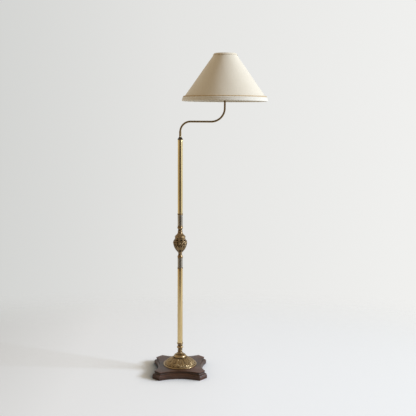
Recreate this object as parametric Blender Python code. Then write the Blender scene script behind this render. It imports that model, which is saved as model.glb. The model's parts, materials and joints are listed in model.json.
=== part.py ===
"""Antique brass pharmacy floor lamp: a telescoping column on a weighted wooden base, with an urn knop at
half height, an S-bent swinging arm and a coolie shade on an upright lampholder.

The frame: origin on the floor under the column's axis, +Z up, +X along the arm at rest, -Y to the front.
"""

import math

import bmesh
import bpy
from mathutils import Vector

MM = 0.001

# ---- Driving dimensions ----------------------------------------------------------------------
GAP = 0.3 * MM  # between pieces that touch; every height below is above the floor

BASE_HALF_WIDTH = 128 * MM
BASE_CORNER_CUT = 34 * MM
BASE_SIDE_SAG = 22 * MM  # how far each side curves in at its middle
BASE_DEPTH_RATIO = 1.03  # the base is a little deeper than it is wide
BASE_TOP = 35 * MM
BASE_RIM_CLEARANCE = 0.4 * MM  # the wooden rim round the felt clears the floor by this
FELT_THICKNESS = 2 * MM
BASE_CAVITY_RADIUS = 80 * MM
BASE_CAVITY_TOP = 24 * MM
CORD_HOLE_HEIGHT = 10.5 * MM
CORD_HOLE_RADIUS = 5 * MM

ROD_RADIUS = 5 * MM
ROD_BORE_RADIUS = 3.4 * MM
ROD_HOLE_RADIUS = 5.4 * MM  # in every piece threaded on the rod

FLANGE_RADIUS = 79.5 * MM
COLUMN_TOP = 130.7 * MM
CUP_TOP = 140.6 * MM
LOWER_TUBE_RADIUS = 12.4 * MM
LOWER_TUBE_BOTTOM = 133.8 * MM
LOWER_TUBE_TOP = 502 * MM
RING_HEIGHT = 6.1 * MM
SLEEVE_RADIUS = 12.15 * MM
LOWER_SLEEVE_TOP = 553.4 * MM
URN_FOOT_TOP = 579.7 * MM
URN_BODY_TOP = 638.3 * MM
URN_LID_TOP = 672.3 * MM
URN_NECK_TOP = 708.7 * MM
UPPER_SLEEVE_TOP = 758.9 * MM
UPPER_TUBE_RADIUS = 11.8 * MM
UPPER_TUBE_BOTTOM = 765.6 * MM
UPPER_TUBE_TOP = 1107.5 * MM
TUBE_WALL = 1.2 * MM

STEM_RADIUS = 5.25 * MM
STEM_BORE_RADIUS = 4.25 * MM
STEM_BOTTOM = 783.3 * MM  # on the rod's top end
STEM_TOP = 1124 * MM
COLLAR_TOP = 1121.5 * MM

ARM_RADIUS = 4.5 * MM
ARM_WALL = 1 * MM
ARM_BOTTOM = 1140.3 * MM
ARM_TOP = 1307 * MM
ARM_LEVEL = 1192 * MM  # the height of the level stretch
ARM_REACH = 204.3 * MM
ARM_LOWER_BEND = 47 * MM
ARM_UPPER_BEND = 62 * MM
FLEX_RADIUS = 2.2 * MM

SWITCH_HEIGHT = 1317.5 * MM
HOLDER_TOP = 1362 * MM
BULB_CAP_TOP = 1362.4 * MM
BULB_RADIUS = 30 * MM
BULB_CENTRE = 1417 * MM
GIMBAL_HEIGHT = 1345.2 * MM

SHADE_TOP = 1499.5 * MM
SHADE_TOP_RADIUS = 48.6 * MM
SHADE_BOTTOM = 1296 * MM
SHADE_SLOPE = 0.7076  # radius gained for each unit down the cone
FABRIC_THICKNESS = 0.8 * MM
LINER_THICKNESS = 0.7 * MM
SHADE_WIRE_RADIUS = 1.6 * MM

COLUMN_SIDES = 20
INNER_SIDES = 16
SHADE_SIDES = 40
WIRE_SIDES = 6

HOLDER_AXIS = (ARM_REACH, 0)


# ---- Materials -------------------------------------------------------------------------------
def make_material(name, colour, roughness, metallic):
    material = bpy.data.materials.new(name)
    material.use_nodes = True
    shader = material.node_tree.nodes["Principled BSDF"]
    shader.inputs["Base Color"].default_value = (*colour, 1)
    shader.inputs["Roughness"].default_value = roughness
    shader.inputs["Metallic"].default_value = metallic
    return material


def make_materials():
    return {
        "brass": make_material("brass", (0.52, 0.38, 0.16), 0.25, 1),
        "cast_brass": make_material("cast_brass", (0.30, 0.21, 0.09), 0.4, 1),
        "silvered": make_material("silvered", (0.55, 0.54, 0.50), 0.3, 1),
        "dark_bronze": make_material("dark_bronze", (0.05, 0.04, 0.03), 0.45, 1),
        "mahogany": make_material("mahogany", (0.08, 0.04, 0.025), 0.4, 0),
        "felt": make_material("felt", (0.03, 0.07, 0.04), 0.95, 0),
        "iron": make_material("iron", (0.10, 0.10, 0.10), 0.7, 1),
        "steel": make_material("steel", (0.50, 0.50, 0.50), 0.35, 1),
        "nickel": make_material("nickel", (0.60, 0.58, 0.54), 0.3, 1),
        "phenolic": make_material("phenolic", (0.03, 0.02, 0.015), 0.4, 0),
        "flex": make_material("flex", (0.25, 0.17, 0.06), 0.7, 0),
        "fabric": make_material("fabric", (0.80, 0.75, 0.63), 0.9, 0),
        "liner": make_material("liner", (0.85, 0.82, 0.74), 0.6, 0),
        "braid": make_material("braid", (0.48, 0.34, 0.13), 0.6, 0),
        "glass": make_material("glass", (0.92, 0.92, 0.90), 0.1, 0),
    }


# ---- Modelling tools -------------------------------------------------------------------------
def finish(name, bm, material, sharp_angle=35):
    """A named object from a bmesh, its faces made to point out, smooth between its sharp edges."""
    bmesh.ops.remove_doubles(bm, verts=bm.verts, dist=0.00001)
    bmesh.ops.recalc_face_normals(bm, faces=bm.faces)
    mesh = bpy.data.meshes.new(name)
    bm.to_mesh(mesh)
    bm.free()
    mesh.materials.append(material)
    mesh.shade_smooth()
    mesh.set_sharp_from_angle(angle=math.radians(sharp_angle))
    obj = bpy.data.objects.new(name, mesh)
    bpy.context.scene.collection.objects.link(obj)
    return obj


def turned(name, profile, material, axis=(0, 0), sides=COLUMN_SIDES, closed=True):
    """A piece turned on a lathe: its (radius, height) profile spun round a vertical axis.

    A closed profile keeps clear of the axis. An open one starts and ends on it.
    """
    bm = bmesh.new()
    verts = [bm.verts.new((radius, 0, height)) for radius, height in profile]
    last = len(verts) if closed else len(verts) - 1
    edges = [bm.edges.new((verts[i], verts[(i + 1) % len(verts)])) for i in range(last)]
    bmesh.ops.spin(
        bm,
        geom=verts + edges,
        cent=(0, 0, 0),
        axis=(0, 0, 1),
        angle=2 * math.pi,
        steps=sides,
        use_merge=True,
        use_duplicate=False,
    )
    obj = finish(name, bm, material)
    obj.location = (axis[0], axis[1], 0)
    return obj


def tube_profile(inner, outer, bottom, top):
    return [(outer, bottom), (outer, top), (inner, top), (inner, bottom)]


def arc(centre, radius, start, end, steps):
    """Points on a circle, from one angle to another in degrees, as (radius, height) or (x, z) pairs."""
    angles = [math.radians(start + (end - start) * i / steps) for i in range(steps + 1)]
    return [(centre[0] + radius * math.cos(a), centre[1] + radius * math.sin(a)) for a in angles]


def in_mm(*points):
    return [(radius * MM, height * MM) for radius, height in points]


def ring_profile(centre, radius, sides=WIRE_SIDES):
    """A round wire's section, for a ring bent from it."""
    return arc(centre, radius, 0, 360 * (sides - 1) / sides, sides - 1)


def cylinder(name, start, end, radius, material=None, sides=INNER_SIDES):
    """A plain round bar between two points."""
    bm = bmesh.new()
    along = Vector(end) - Vector(start)
    bmesh.ops.create_cone(
        bm, cap_ends=True, segments=sides, radius1=radius, radius2=radius, depth=along.length
    )
    turn = along.to_track_quat("Z", "Y").to_matrix()
    bmesh.ops.rotate(bm, verts=bm.verts, cent=(0, 0, 0), matrix=turn)
    bmesh.ops.translate(bm, verts=bm.verts, vec=(Vector(start) + Vector(end)) / 2)
    return finish(name, bm, material or bpy.data.materials["steel"])


def box(name, low, high):
    bm = bmesh.new()
    bmesh.ops.create_cube(bm, size=1)
    size = Vector(high) - Vector(low)
    bmesh.ops.scale(bm, verts=bm.verts, vec=size)
    bmesh.ops.translate(bm, verts=bm.verts, vec=(Vector(high) + Vector(low)) / 2)
    return finish(name, bm, bpy.data.materials["steel"])


def helper(obj):
    """Marks an object as a cutter or a joined shape, which isn't a piece itself."""
    obj.hide_render = True
    obj.display_type = "WIRE"
    return obj


def boolean(obj, other, operation):
    modifier = obj.modifiers.new(f"{operation.lower()}_{other.name}", "BOOLEAN")
    modifier.operation = operation
    modifier.solver = "EXACT"
    modifier.object = helper(other)


def cut(obj, cutter):
    boolean(obj, cutter, "DIFFERENCE")


def join(obj, other):
    boolean(obj, other, "UNION")


def swept(name, points, radius, material, sides=8, bore=0.0):
    """A round bar along points in one upright plane through the first point, hollow if it has a bore."""
    path = [Vector(point) for point in points]
    across = (path[-1] - path[0]).cross(Vector((0, 0, 1))).normalized()
    steps = [(after - before).normalized() for before, after in zip(path, path[1:])]
    tangents = [steps[0], *[(a + b).normalized() for a, b in zip(steps, steps[1:])], steps[-1]]
    bm = bmesh.new()

    def rings(ring_radius):
        loops = []
        for centre, tangent in zip(path, tangents):
            up = across.cross(tangent)
            angles = [2 * math.pi * i / sides for i in range(sides)]
            offsets = [across * math.cos(a) + up * math.sin(a) for a in angles]
            loops.append([bm.verts.new(centre + offset * ring_radius) for offset in offsets])
        return loops

    def bridge(first, second):
        for i in range(sides):
            j = (i + 1) % sides
            bm.faces.new((first[i], first[j], second[j], second[i]))

    outer = rings(radius)
    for lower, upper in zip(outer, outer[1:]):
        bridge(lower, upper)
    if bore:
        inner = rings(bore)
        for lower, upper in zip(inner, inner[1:]):
            bridge(lower, upper)
        bridge(outer[0], inner[0])
        bridge(outer[-1], inner[-1])
    else:
        bm.faces.new(outer[0])
        bm.faces.new(outer[-1])
    return finish(name, bm, material)


def hex_nut(name, across_flats, bore, bottom, top, material, axis=(0, 0)):
    corner_radius = across_flats / math.sqrt(3)
    nut = cylinder(name, (*axis, bottom), (*axis, top), corner_radius, material, sides=6)
    cut(nut, cylinder(name + "_bore", (*axis, bottom - 5 * MM), (*axis, top + 5 * MM), bore))
    return nut


# ---- Wooden base -----------------------------------------------------------------------------
def base_outline(inset, arc_steps=8):
    """The base's plan, moved in by inset: four sides that curve in between four clipped corners."""
    half = BASE_HALF_WIDTH - inset
    corner = half - (BASE_CORNER_CUT - inset * (2 - math.sqrt(2)))
    radius = (corner**2 + BASE_SIDE_SAG**2) / (2 * BASE_SIDE_SAG)
    spread = math.degrees(math.asin(corner / radius))
    centre = (0, -half - radius + BASE_SIDE_SAG)
    side = arc(centre, radius, 90 + spread, 90 - spread, arc_steps)
    points = []
    for quarter in range(4):
        turn = quarter * math.pi / 2
        points += [
            (
                x * math.cos(turn) - y * math.sin(turn),
                (x * math.sin(turn) + y * math.cos(turn)) * BASE_DEPTH_RATIO,
            )
            for x, y in side
        ]
    return points


def lofted(name, sections, material):
    """A solid through (outline, height) sections that all have the same number of points."""
    bm = bmesh.new()
    loops = [[bm.verts.new((x, y, height)) for x, y in outline] for outline, height in sections]
    bm.faces.new(loops[0])
    bm.faces.new(loops[-1])
    for lower, upper in zip(loops, loops[1:]):
        for i in range(len(lower)):
            j = (i + 1) % len(lower)
            bm.faces.new((lower[i], lower[j], upper[j], upper[i]))
    return finish(name, bm, material)


def build_base(mats):
    foot = in_mm((0, 1.4), (0, 13.4))
    ovolo = in_mm((1, 15), (1.8, 18.2), (4.2, 21.2), (7.4, 22.8), (9.8, 23.2))
    cove = in_mm((10.6, 24.2), (11.4, 26.6), (11.2, 29.2), (9.6, 31.4))
    lip = in_mm((9.2, 32.4), (9.4, 33.8))
    profile = [(0.8 * MM, BASE_RIM_CLEARANCE), *foot, *ovolo, *cove, *lip, (11.2 * MM, BASE_TOP)]
    base = lofted("wood_base", [(base_outline(inset), z) for inset, z in profile], mats["mahogany"])
    felt_inset = 4 * MM
    recess = base_outline(felt_inset - GAP)
    recess_ends = [(recess, -10 * MM), (recess, FELT_THICKNESS + GAP)]
    cut(base, lofted("felt_recess", recess_ends, mats["felt"]))
    cut(base, cylinder("cavity", (0, 0, -0.01), (0, 0, BASE_CAVITY_TOP), BASE_CAVITY_RADIUS, sides=40))
    cut(base, cylinder("rod_hole", (0, 0, 0.01), (0, 0, 0.05), ROD_HOLE_RADIUS))
    rear = (BASE_HALF_WIDTH - BASE_SIDE_SAG) * BASE_DEPTH_RATIO
    hole_start = (0, BASE_CAVITY_RADIUS - 10 * MM, CORD_HOLE_HEIGHT)
    cut(base, cylinder("cord_hole", hole_start, (0, rear + 0.02, CORD_HOLE_HEIGHT), CORD_HOLE_RADIUS))

    outline = base_outline(felt_inset)
    lofted("base_felt", [(outline, 0), (outline, FELT_THICKNESS)], mats["felt"])

    weight_top = BASE_CAVITY_TOP - GAP
    weight = turned("ballast_weight", tube_profile(30 * MM, 78 * MM, 5 * MM, weight_top), mats["iron"])
    cord_slot = 6 * MM
    cut(weight, box("weight_slot", (-cord_slot, 20 * MM, 0), (cord_slot, 90 * MM, 40 * MM)))

    washer_bottom = BASE_CAVITY_TOP - 1.8 * MM
    washer = tube_profile(ROD_HOLE_RADIUS, 14 * MM, washer_bottom, BASE_CAVITY_TOP - GAP)
    turned("base_washer", washer, mats["steel"], sides=INNER_SIDES)
    hex_nut("base_nut", 17 * MM, ROD_HOLE_RADIUS, 14 * MM, washer_bottom - GAP, mats["steel"])
    build_cord_bushing(mats, rear)
    build_column_flex(mats, rear)


def build_column_flex(mats, rear):
    """The inner wiring from the bushing, through the slot in the weight and up inside the rod."""
    level = 5.2 * MM
    bend = 9 * MM
    turn = [(0, y, z) for y, z in arc((bend, level + bend), bend, -90, -180, 5)]
    in_hole = [(0, rear - 12 * MM, CORD_HOLE_HEIGHT), (0, BASE_CAVITY_RADIUS + 4 * MM, CORD_HOLE_HEIGHT)]
    path = [*in_hole, (0, BASE_CAVITY_RADIUS - 12 * MM, level), *turn, (0, 0, STEM_BOTTOM + 2 * MM)]
    swept("column_flex", path, FLEX_RADIUS, mats["flex"], sides=6)


def build_cord_bushing(mats, rear):
    """The bushed outlet in the base's rear side, where the supply cord comes out."""
    profile = in_mm((3.2, 0), (4.7, 0), (4.7, 14.2), (6.5, 14.5), (6.5, 16), (5.2, 17), (3.2, 17))
    bushing = turned("cord_bushing", profile, mats["phenolic"], sides=INNER_SIDES)
    bushing.rotation_euler = (-math.pi / 2, 0, 0)
    shoulder = 14.5 * MM
    bushing.location = (0, rear + 2 * GAP - shoulder, CORD_HOLE_HEIGHT)


# ---- Column ----------------------------------------------------------------------------------
def bored(outer, hole=ROD_HOLE_RADIUS):
    """A turned outline closed by a plain hole for the rod."""
    return [*outer, (hole, outer[-1][1]), (hole, outer[0][1])]


def build_foot(mats):
    """The cast foot: embossed flange, ball dome, beaded neck and the cup that the lower tube stands in."""
    edge = [(FLANGE_RADIUS, BASE_TOP + GAP), (FLANGE_RADIUS, BASE_TOP + 2.6 * MM)]
    swell = in_mm((77.6, 39.4), (66, 48.4), (52, 58), (40, 65.6), (31, 70.3), (5.4, 70.3))
    under = in_mm((5.4, 66.8), (30, 66.8), (51, 54.5), (75.5, 35.3))
    turned("foot_flange", edge + swell + under, mats["cast_brass"], sides=32)

    dome = in_mm((28.4, 70.6), (30, 73.4), (29.9, 76.2), (28.2, 79.5), (25, 82.2), (21, 84.3), (18.6, 85.6))
    turned("foot_dome", bored(dome), mats["cast_brass"])

    neck = in_mm((18.4, 85.9), (18.4, 87.3), (14.2, 88.9), (11.8, 91.8), (10.4, 95.4), (10.2, 98.6))
    bead = in_mm((11.7, 101), (11.9, 103), (11.7, 105), (9.8, 107.4), (9.7, 111.2))
    knop = in_mm((11.6, 113.5), (13.9, 115.8), (14.5, 119), (13.9, 122.2), (11.6, 124.3))
    cap = in_mm((10.1, 125.6), (11.9, COLUMN_TOP / MM))
    turned("foot_column", bored(neck + bead + knop + cap), mats["cast_brass"])

    floor = LOWER_TUBE_BOTTOM - GAP
    cup = in_mm((11.6, 131), (13.5, 133), (14.2, 136.2), (14, 139.4), (13.4, 140.6))
    seat = LOWER_TUBE_RADIUS + GAP
    seat_profile = [(seat, CUP_TOP), (seat, floor), (ROD_HOLE_RADIUS, floor), (ROD_HOLE_RADIUS, cup[0][1])]
    turned("foot_cup", cup + seat_profile, mats["cast_brass"])


def build_ring(name, bottom, mats):
    """A slim turned ring between a tube and a sleeve."""
    outer = in_mm((12.2, 0), (12.9, 1.4), (13, 3), (12.9, 4.7), (12.2, 6.1))
    turned(name, bored([(radius, bottom + height) for radius, height in outer]), mats["cast_brass"])


def build_urn(mats):
    """The knop at half height: a foot, a cup-shaped body, a lid and a neck."""
    ring = in_mm((11.6, LOWER_SLEEVE_TOP / MM + 0.3), (12.4, 556), (12.8, 559.6), (12.3, 563.4))
    waist = in_mm((11, 566.4), (9.4, 569.4), (8.9, 573.6), (9.8, URN_FOOT_TOP / MM))
    turned("urn_foot", bored(ring + waist), mats["cast_brass"])

    lower_body = in_mm((10.3, 580), (13.4, 584.2), (17, 588.9), (20.8, 593.7), (24, 598.5))
    lower_body += in_mm((28.5, 608), (31.2, 617.7))
    rim = in_mm((33, 624), (33.2, 628.5), (32.4, 632.5), (31, 636.6))
    rim += [(29.8 * MM, URN_BODY_TOP), (27.6 * MM, URN_BODY_TOP)]
    hollow = in_mm((30, 627), (28.2, 616), (24.6, 605), (18.5, 595), (12, 588.5), (5.4, 586.5), (5.4, 580))
    turned("urn_body", lower_body + rim + hollow, mats["cast_brass"])

    skirt = in_mm((26.8, 638.6), (27, 640.8), (24.2, 643.6), (22.6, 646.6), (23.4, 649.8))
    dome = in_mm((25.6, 653.6), (25.6, 656.6), (22.4, 660.2), (17, 665), (13.8, 669.6))
    top = in_mm((12.2, URN_LID_TOP / MM), (5.4, URN_LID_TOP / MM))
    under = in_mm((5.4, 662), (14, 656), (18, 648), (18, 638.6))
    turned("urn_lid", skirt + dome + top + under, mats["cast_brass"])

    neck = in_mm((12, 672.6), (10.7, 678), (11.4, 682.4), (9.8, 687.4), (9.9, 691))
    knop = in_mm((12.4, 695), (13.6, 698.6), (12.4, 702.4), (11.7, 705), (11.7, URN_NECK_TOP / MM))
    turned("urn_neck", bored(neck + knop), mats["cast_brass"])


def build_column(mats):
    rod = tube_profile(ROD_BORE_RADIUS, ROD_RADIUS, 11 * MM, STEM_BOTTOM - GAP)
    turned("tie_rod", rod, mats["steel"], sides=INNER_SIDES)

    lower_bore = LOWER_TUBE_RADIUS - TUBE_WALL
    lower_tube = tube_profile(lower_bore, LOWER_TUBE_RADIUS, LOWER_TUBE_BOTTOM, LOWER_TUBE_TOP)
    turned("lower_tube", lower_tube, mats["brass"])
    build_ring("lower_ring", LOWER_TUBE_TOP + GAP, mats)
    sleeve_bore = SLEEVE_RADIUS - TUBE_WALL
    lower_sleeve_bottom = LOWER_TUBE_TOP + RING_HEIGHT + 2 * GAP
    lower_sleeve = tube_profile(sleeve_bore, SLEEVE_RADIUS, lower_sleeve_bottom, LOWER_SLEEVE_TOP)
    turned("lower_sleeve", lower_sleeve, mats["silvered"])

    upper_sleeve = tube_profile(sleeve_bore, SLEEVE_RADIUS, URN_NECK_TOP + GAP, UPPER_SLEEVE_TOP)
    turned("upper_sleeve", upper_sleeve, mats["silvered"])
    build_ring("upper_ring", UPPER_SLEEVE_TOP + GAP, mats)
    upper_bore = UPPER_TUBE_RADIUS - TUBE_WALL
    upper_tube = tube_profile(upper_bore, UPPER_TUBE_RADIUS, UPPER_TUBE_BOTTOM, UPPER_TUBE_TOP)
    turned("upper_tube", upper_tube, mats["brass"])
    plug_top = STEM_BOTTOM - 2 * MM
    plug = tube_profile(ROD_HOLE_RADIUS, upper_bore - GAP, UPPER_TUBE_BOTTOM + GAP, plug_top)
    turned("upper_tube_plug", plug, mats["brass"], sides=INNER_SIDES)


def build_column_top(mats):
    """The guide bush in the tube's mouth, the split collet on it and the collar that closes the collet."""
    bore = 5.6 * MM
    bush = in_mm((10.3, 1083), (10.3, 1107.8), (11.7, 1107.8), (11.7, 1109.2), (8, 1109.2), (8, 1114.5))
    turned("top_bush", bored(bush, bore), mats["brass"], sides=INNER_SIDES)

    collet_bottom = 1114.8 * MM
    collet_top = 1117.6 * MM
    collet_profile = tube_profile(bore, 7.4 * MM, collet_bottom, collet_top)
    collet = turned("clamp_collet", collet_profile, mats["brass"], sides=INNER_SIDES)
    slit = 0.6 * MM
    low = (-slit, 4 * MM, collet_bottom - 5 * MM)
    high = (slit, 9 * MM, collet_top + 5 * MM)
    cut(collet, box("collet_slit", low, high))

    skirt = in_mm((8.35, 1109.5), (12.3, 1109.5), (12.3, 1111.9), (11.6, 1112.6), (6.5, 1121.1))
    skirt += in_mm((6, COLLAR_TOP / MM))
    inside = in_mm((5.7, COLLAR_TOP / MM), (5.7, 1118), (7.75, 1118), (7.75, 1114.9), (8.35, 1114.9))
    turned("lock_collar", skirt + inside, mats["dark_bronze"])


# ---- Stem and arm ----------------------------------------------------------------------------
def build_stem(mats):
    """The stem that slides in the upper tube, with its guide and the spindle that the arm turns on."""
    stem = tube_profile(STEM_BORE_RADIUS, STEM_RADIUS, STEM_BOTTOM, STEM_TOP)
    turned("stem_tube", stem, mats["brass"], sides=INNER_SIDES)
    guide = tube_profile(STEM_RADIUS + GAP, 10.2 * MM, STEM_BOTTOM + GAP, 795 * MM)
    turned("stem_guide", guide, mats["phenolic"], sides=INNER_SIDES)
    washer = tube_profile(4.2 * MM, 5.7 * MM, STEM_TOP + GAP, 1125.3 * MM)
    turned("swivel_washer", washer, mats["phenolic"], sides=INNER_SIDES)
    pin = in_mm((3.85, 1112), (3.85, 1138.2))
    head = in_mm((4.45, 1138.2), (4.45, 1139.8), (2.9, 1139.8), (2.9, 1112))
    turned("swivel_spindle", pin + head, mats["steel"], sides=INNER_SIDES)


def arm_path(bottom, top, bend_steps):
    """The arm's centreline: up, over to the level stretch, and up again to the lampholder."""
    lower_centre = (ARM_LOWER_BEND, ARM_LEVEL - ARM_LOWER_BEND)
    upper_centre = (ARM_REACH - ARM_UPPER_BEND, ARM_LEVEL + ARM_UPPER_BEND)
    lower = arc(lower_centre, ARM_LOWER_BEND, 180, 90, bend_steps)
    upper = arc(upper_centre, ARM_UPPER_BEND, -90, 0, bend_steps)
    return [(x, 0, z) for x, z in [(0, bottom), *lower, *upper, (ARM_REACH, top)]]


def build_arm(mats):
    sleeve = in_mm((5.6, 1125.6), (5.9, 1126.6), (5.5, 1128), (5.5, 1146), (5, 1147.3))
    bores = in_mm((4.8, 1147.3), (4.8, 1137.9), (4.15, 1137.9), (4.15, 1125.6))
    turned("swivel_sleeve", sleeve + bores, mats["brass"], sides=INNER_SIDES)

    arm_bore = ARM_RADIUS - ARM_WALL
    swept("arm_tube", arm_path(ARM_BOTTOM, ARM_TOP, 8), ARM_RADIUS, mats["brass"], sides=12, bore=arm_bore)
    flex_end = ARM_TOP + 2.5 * MM
    swept("arm_flex", arm_path(STEM_BOTTOM + 5 * MM, flex_end, 8), FLEX_RADIUS, mats["flex"], sides=6)


# ---- Lampholder, switch and bulb -------------------------------------------------------------
def upright_bar(name, bottom, top, radius, material):
    """A solid cylinder on the lampholder's axis, with its sizes in millimetres."""
    return cylinder(name, (*HOLDER_AXIS, bottom * MM), (*HOLDER_AXIS, top * MM), radius * MM, material)


def build_holder(mats):
    hex_nut("holder_locknut", 14 * MM, 4.8 * MM, 1296.5 * MM, 1300.5 * MM, mats["brass"], HOLDER_AXIS)

    cap_outer = in_mm((7.5, 1300.8), (13, 1303.8), (17.2, 1308.2), (19.1, 1313), (19.3, 1324.8))
    cap_inner = in_mm((18.1, 1324.8), (17.9, 1313.6), (16.2, 1309.5), (12.3, 1305.3), (7.2, 1303))
    cap_hole = in_mm((4.8, 1303), (4.8, 1300.8))
    cap = turned("holder_cap", cap_outer + cap_inner + cap_hole, mats["brass"], HOLDER_AXIS)
    outside = (ARM_REACH, -30 * MM, SWITCH_HEIGHT)
    cut(cap, cylinder("cap_switch_hole", (ARM_REACH, -12 * MM, SWITCH_HEIGHT), outside, 2.6 * MM))

    barrel = upright_bar("switch_barrel", 1310.5, 1324, 15, mats["phenolic"])
    cut(barrel, cylinder("barrel_hole", (ARM_REACH, -4 * MM, SWITCH_HEIGHT), outside, 2.6 * MM, sides=16))

    shell = tube_profile(18.3 * MM, 19.5 * MM, 1325.1 * MM, HOLDER_TOP)
    turned("holder_shell", shell, mats["brass"], HOLDER_AXIS)
    upright_bar("holder_insulator", 1325.4, 1335.2, 17.9, mats["phenolic"])
    upright_bar("centre_contact", 1335.5, 1336.9, 3, mats["brass"])
    screw_shell = tube_profile(13.6 * MM, 14.4 * MM, 1335.5 * MM, 1359 * MM)
    turned("screw_shell", screw_shell, mats["brass"], HOLDER_AXIS, sides=INNER_SIDES)


def build_switch(mats):
    """The turn switch in the lampholder's side: a shaft, and the knob pressed on it."""
    cylinder(
        "switch_shaft",
        (ARM_REACH, -4.5 * MM, SWITCH_HEIGHT),
        (ARM_REACH, -33 * MM, SWITCH_HEIGHT),
        2.1 * MM,
        mats["brass"],
        sides=12,
    )
    knob_profile = in_mm((2.4, 24), (5, 24), (6.5, 26), (6.5, 36), (5.5, 38))
    knob_profile = [(0, 38 * MM), *reversed(knob_profile), (2.4 * MM, 33.3 * MM), (0, 33.3 * MM)]
    knob = turned("switch_knob", knob_profile, mats["phenolic"], sides=16, closed=False)
    knob.rotation_euler = (math.pi / 2, 0, 0)
    knob.location = (ARM_REACH, 0, SWITCH_HEIGHT)


def build_bulb(mats):
    cap_top = BULB_CAP_TOP / MM
    contact = in_mm((0, 1337.2), (4.5, 1337.2), (8, 1340))
    sleeve = in_mm((12.8, 1342), (13.1, 1344), (13.1, 1360), (12.4, cap_top), (0, cap_top))
    turned("bulb_cap", contact + sleeve, mats["nickel"], HOLDER_AXIS, INNER_SIDES, closed=False)

    def glass(offset):
        neck = in_mm((12.4, 1362.7), (15.6, 1377), (21.4, 1390), (26.8, 1401.5))
        globe = arc((0, BULB_CENTRE), BULB_RADIUS - offset, -10, 90, 6)
        return [(radius - offset, height) for radius, height in neck] + globe

    wall = 1 * MM
    outside = glass(0)
    inside = glass(wall)
    outside[-1] = (0, outside[-1][1])
    inside[-1] = (0, inside[-1][1])
    turned("bulb_glass", [*reversed(outside), *inside], mats["glass"], HOLDER_AXIS, closed=False)


# ---- Shade -----------------------------------------------------------------------------------
def cone_radius(height, inwards=0.0):
    """The shade's outer radius at a height, or that of a cone set inwards from it, square to the cloth."""
    slant = math.sqrt(1 + SHADE_SLOPE**2)
    return SHADE_TOP_RADIUS + (SHADE_TOP - height) * SHADE_SLOPE - inwards * slant


def cone_profile(outside, inside, bottom, top):
    """A conical wall between two offsets from the shade's outer face."""
    return [
        (cone_radius(bottom, outside), bottom),
        (cone_radius(top, outside), top),
        (cone_radius(top, inside), top),
        (cone_radius(bottom, inside), bottom),
    ]


def build_shade_cover(mats):
    fabric = cone_profile(0, FABRIC_THICKNESS, SHADE_BOTTOM, SHADE_TOP)
    turned("shade_fabric", fabric, mats["fabric"], HOLDER_AXIS, SHADE_SIDES)
    liner_face = FABRIC_THICKNESS + GAP
    liner_inside = liner_face + LINER_THICKNESS
    liner = cone_profile(liner_face, liner_inside, SHADE_BOTTOM, SHADE_TOP)
    turned("shade_liner", liner, mats["liner"], HOLDER_AXIS, SHADE_SIDES)

    band_top = 1304.8 * MM
    on_cone = [(cone_radius(z, -GAP) + GAP, z) for z in (SHADE_BOTTOM, band_top)]
    band = [(188.6 * MM, band_top), *in_mm((193.2, 1302.2), (195.8, 1297.8), (196.9, 1291.5))]
    band += in_mm((195.8, 1284.8), (193.6, 1284.8))
    turned("shade_band", band + on_cone, mats["fabric"], HOLDER_AXIS, SHADE_SIDES)

    piping_radius = 1.9 * MM
    piping_height = band_top + piping_radius + GAP
    piping_centre = (cone_radius(piping_height, -piping_radius - 2 * GAP), piping_height)
    piping = ring_profile(piping_centre, piping_radius)
    turned("shade_piping", piping, mats["braid"], HOLDER_AXIS, SHADE_SIDES)

    trim = cone_profile(-2 * MM, -GAP, 1491.5 * MM, 1500 * MM)
    turned("shade_top_trim", trim, mats["fabric"], HOLDER_AXIS, SHADE_SIDES)


def build_shade_frame(mats):
    """The wire frame: the gimbal in one piece, the bottom ring, and the two rings that clamp it."""
    wire_inset = FABRIC_THICKNESS + GAP + LINER_THICKNESS + GAP + SHADE_WIRE_RADIUS
    top_height = 1495 * MM
    top_radius = cone_radius(top_height, wire_inset)
    top_ring = ring_profile((top_radius, top_height), SHADE_WIRE_RADIUS)
    gimbal = turned("shade_gimbal", top_ring, mats["nickel"], HOLDER_AXIS, 24)
    washer_profile = tube_profile(20 * MM, 28.5 * MM, GIMBAL_HEIGHT, GIMBAL_HEIGHT + 1.5 * MM)
    join(gimbal, turned("gimbal_washer", washer_profile, mats["nickel"], HOLDER_AXIS))
    spoke_height = GIMBAL_HEIGHT + 0.75 * MM
    bend = 8 * MM
    knee = 40 * MM
    for number in range(3):
        angle = math.radians(90 + 120 * number)
        corner = arc((knee - bend, spoke_height + bend), bend, -90, 0, 3)
        section = [(26.6 * MM, spoke_height), *corner, (top_radius, top_height)]
        points = [(ARM_REACH + r * math.cos(angle), r * math.sin(angle), z) for r, z in section]
        join(gimbal, swept(f"gimbal_spoke_{number + 1}", points, 1.3 * MM, mats["nickel"], sides=6))

    bottom_height = 1299 * MM
    bottom_centre = (cone_radius(bottom_height, wire_inset), bottom_height)
    bottom_ring = ring_profile(bottom_centre, SHADE_WIRE_RADIUS)
    turned("shade_bottom_ring", bottom_ring, mats["nickel"], HOLDER_AXIS, SHADE_SIDES)

    ring_bore = 19.8 * MM
    ring_radius = 26 * MM
    lower = tube_profile(ring_bore, ring_radius, 1339.9 * MM, GIMBAL_HEIGHT - GAP)
    turned("shade_ring_lower", lower, mats["phenolic"], HOLDER_AXIS)
    upper = tube_profile(ring_bore, ring_radius, GIMBAL_HEIGHT + 1.5 * MM + GAP, 1351.6 * MM)
    turned("shade_ring_upper", upper, mats["phenolic"], HOLDER_AXIS)


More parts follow.
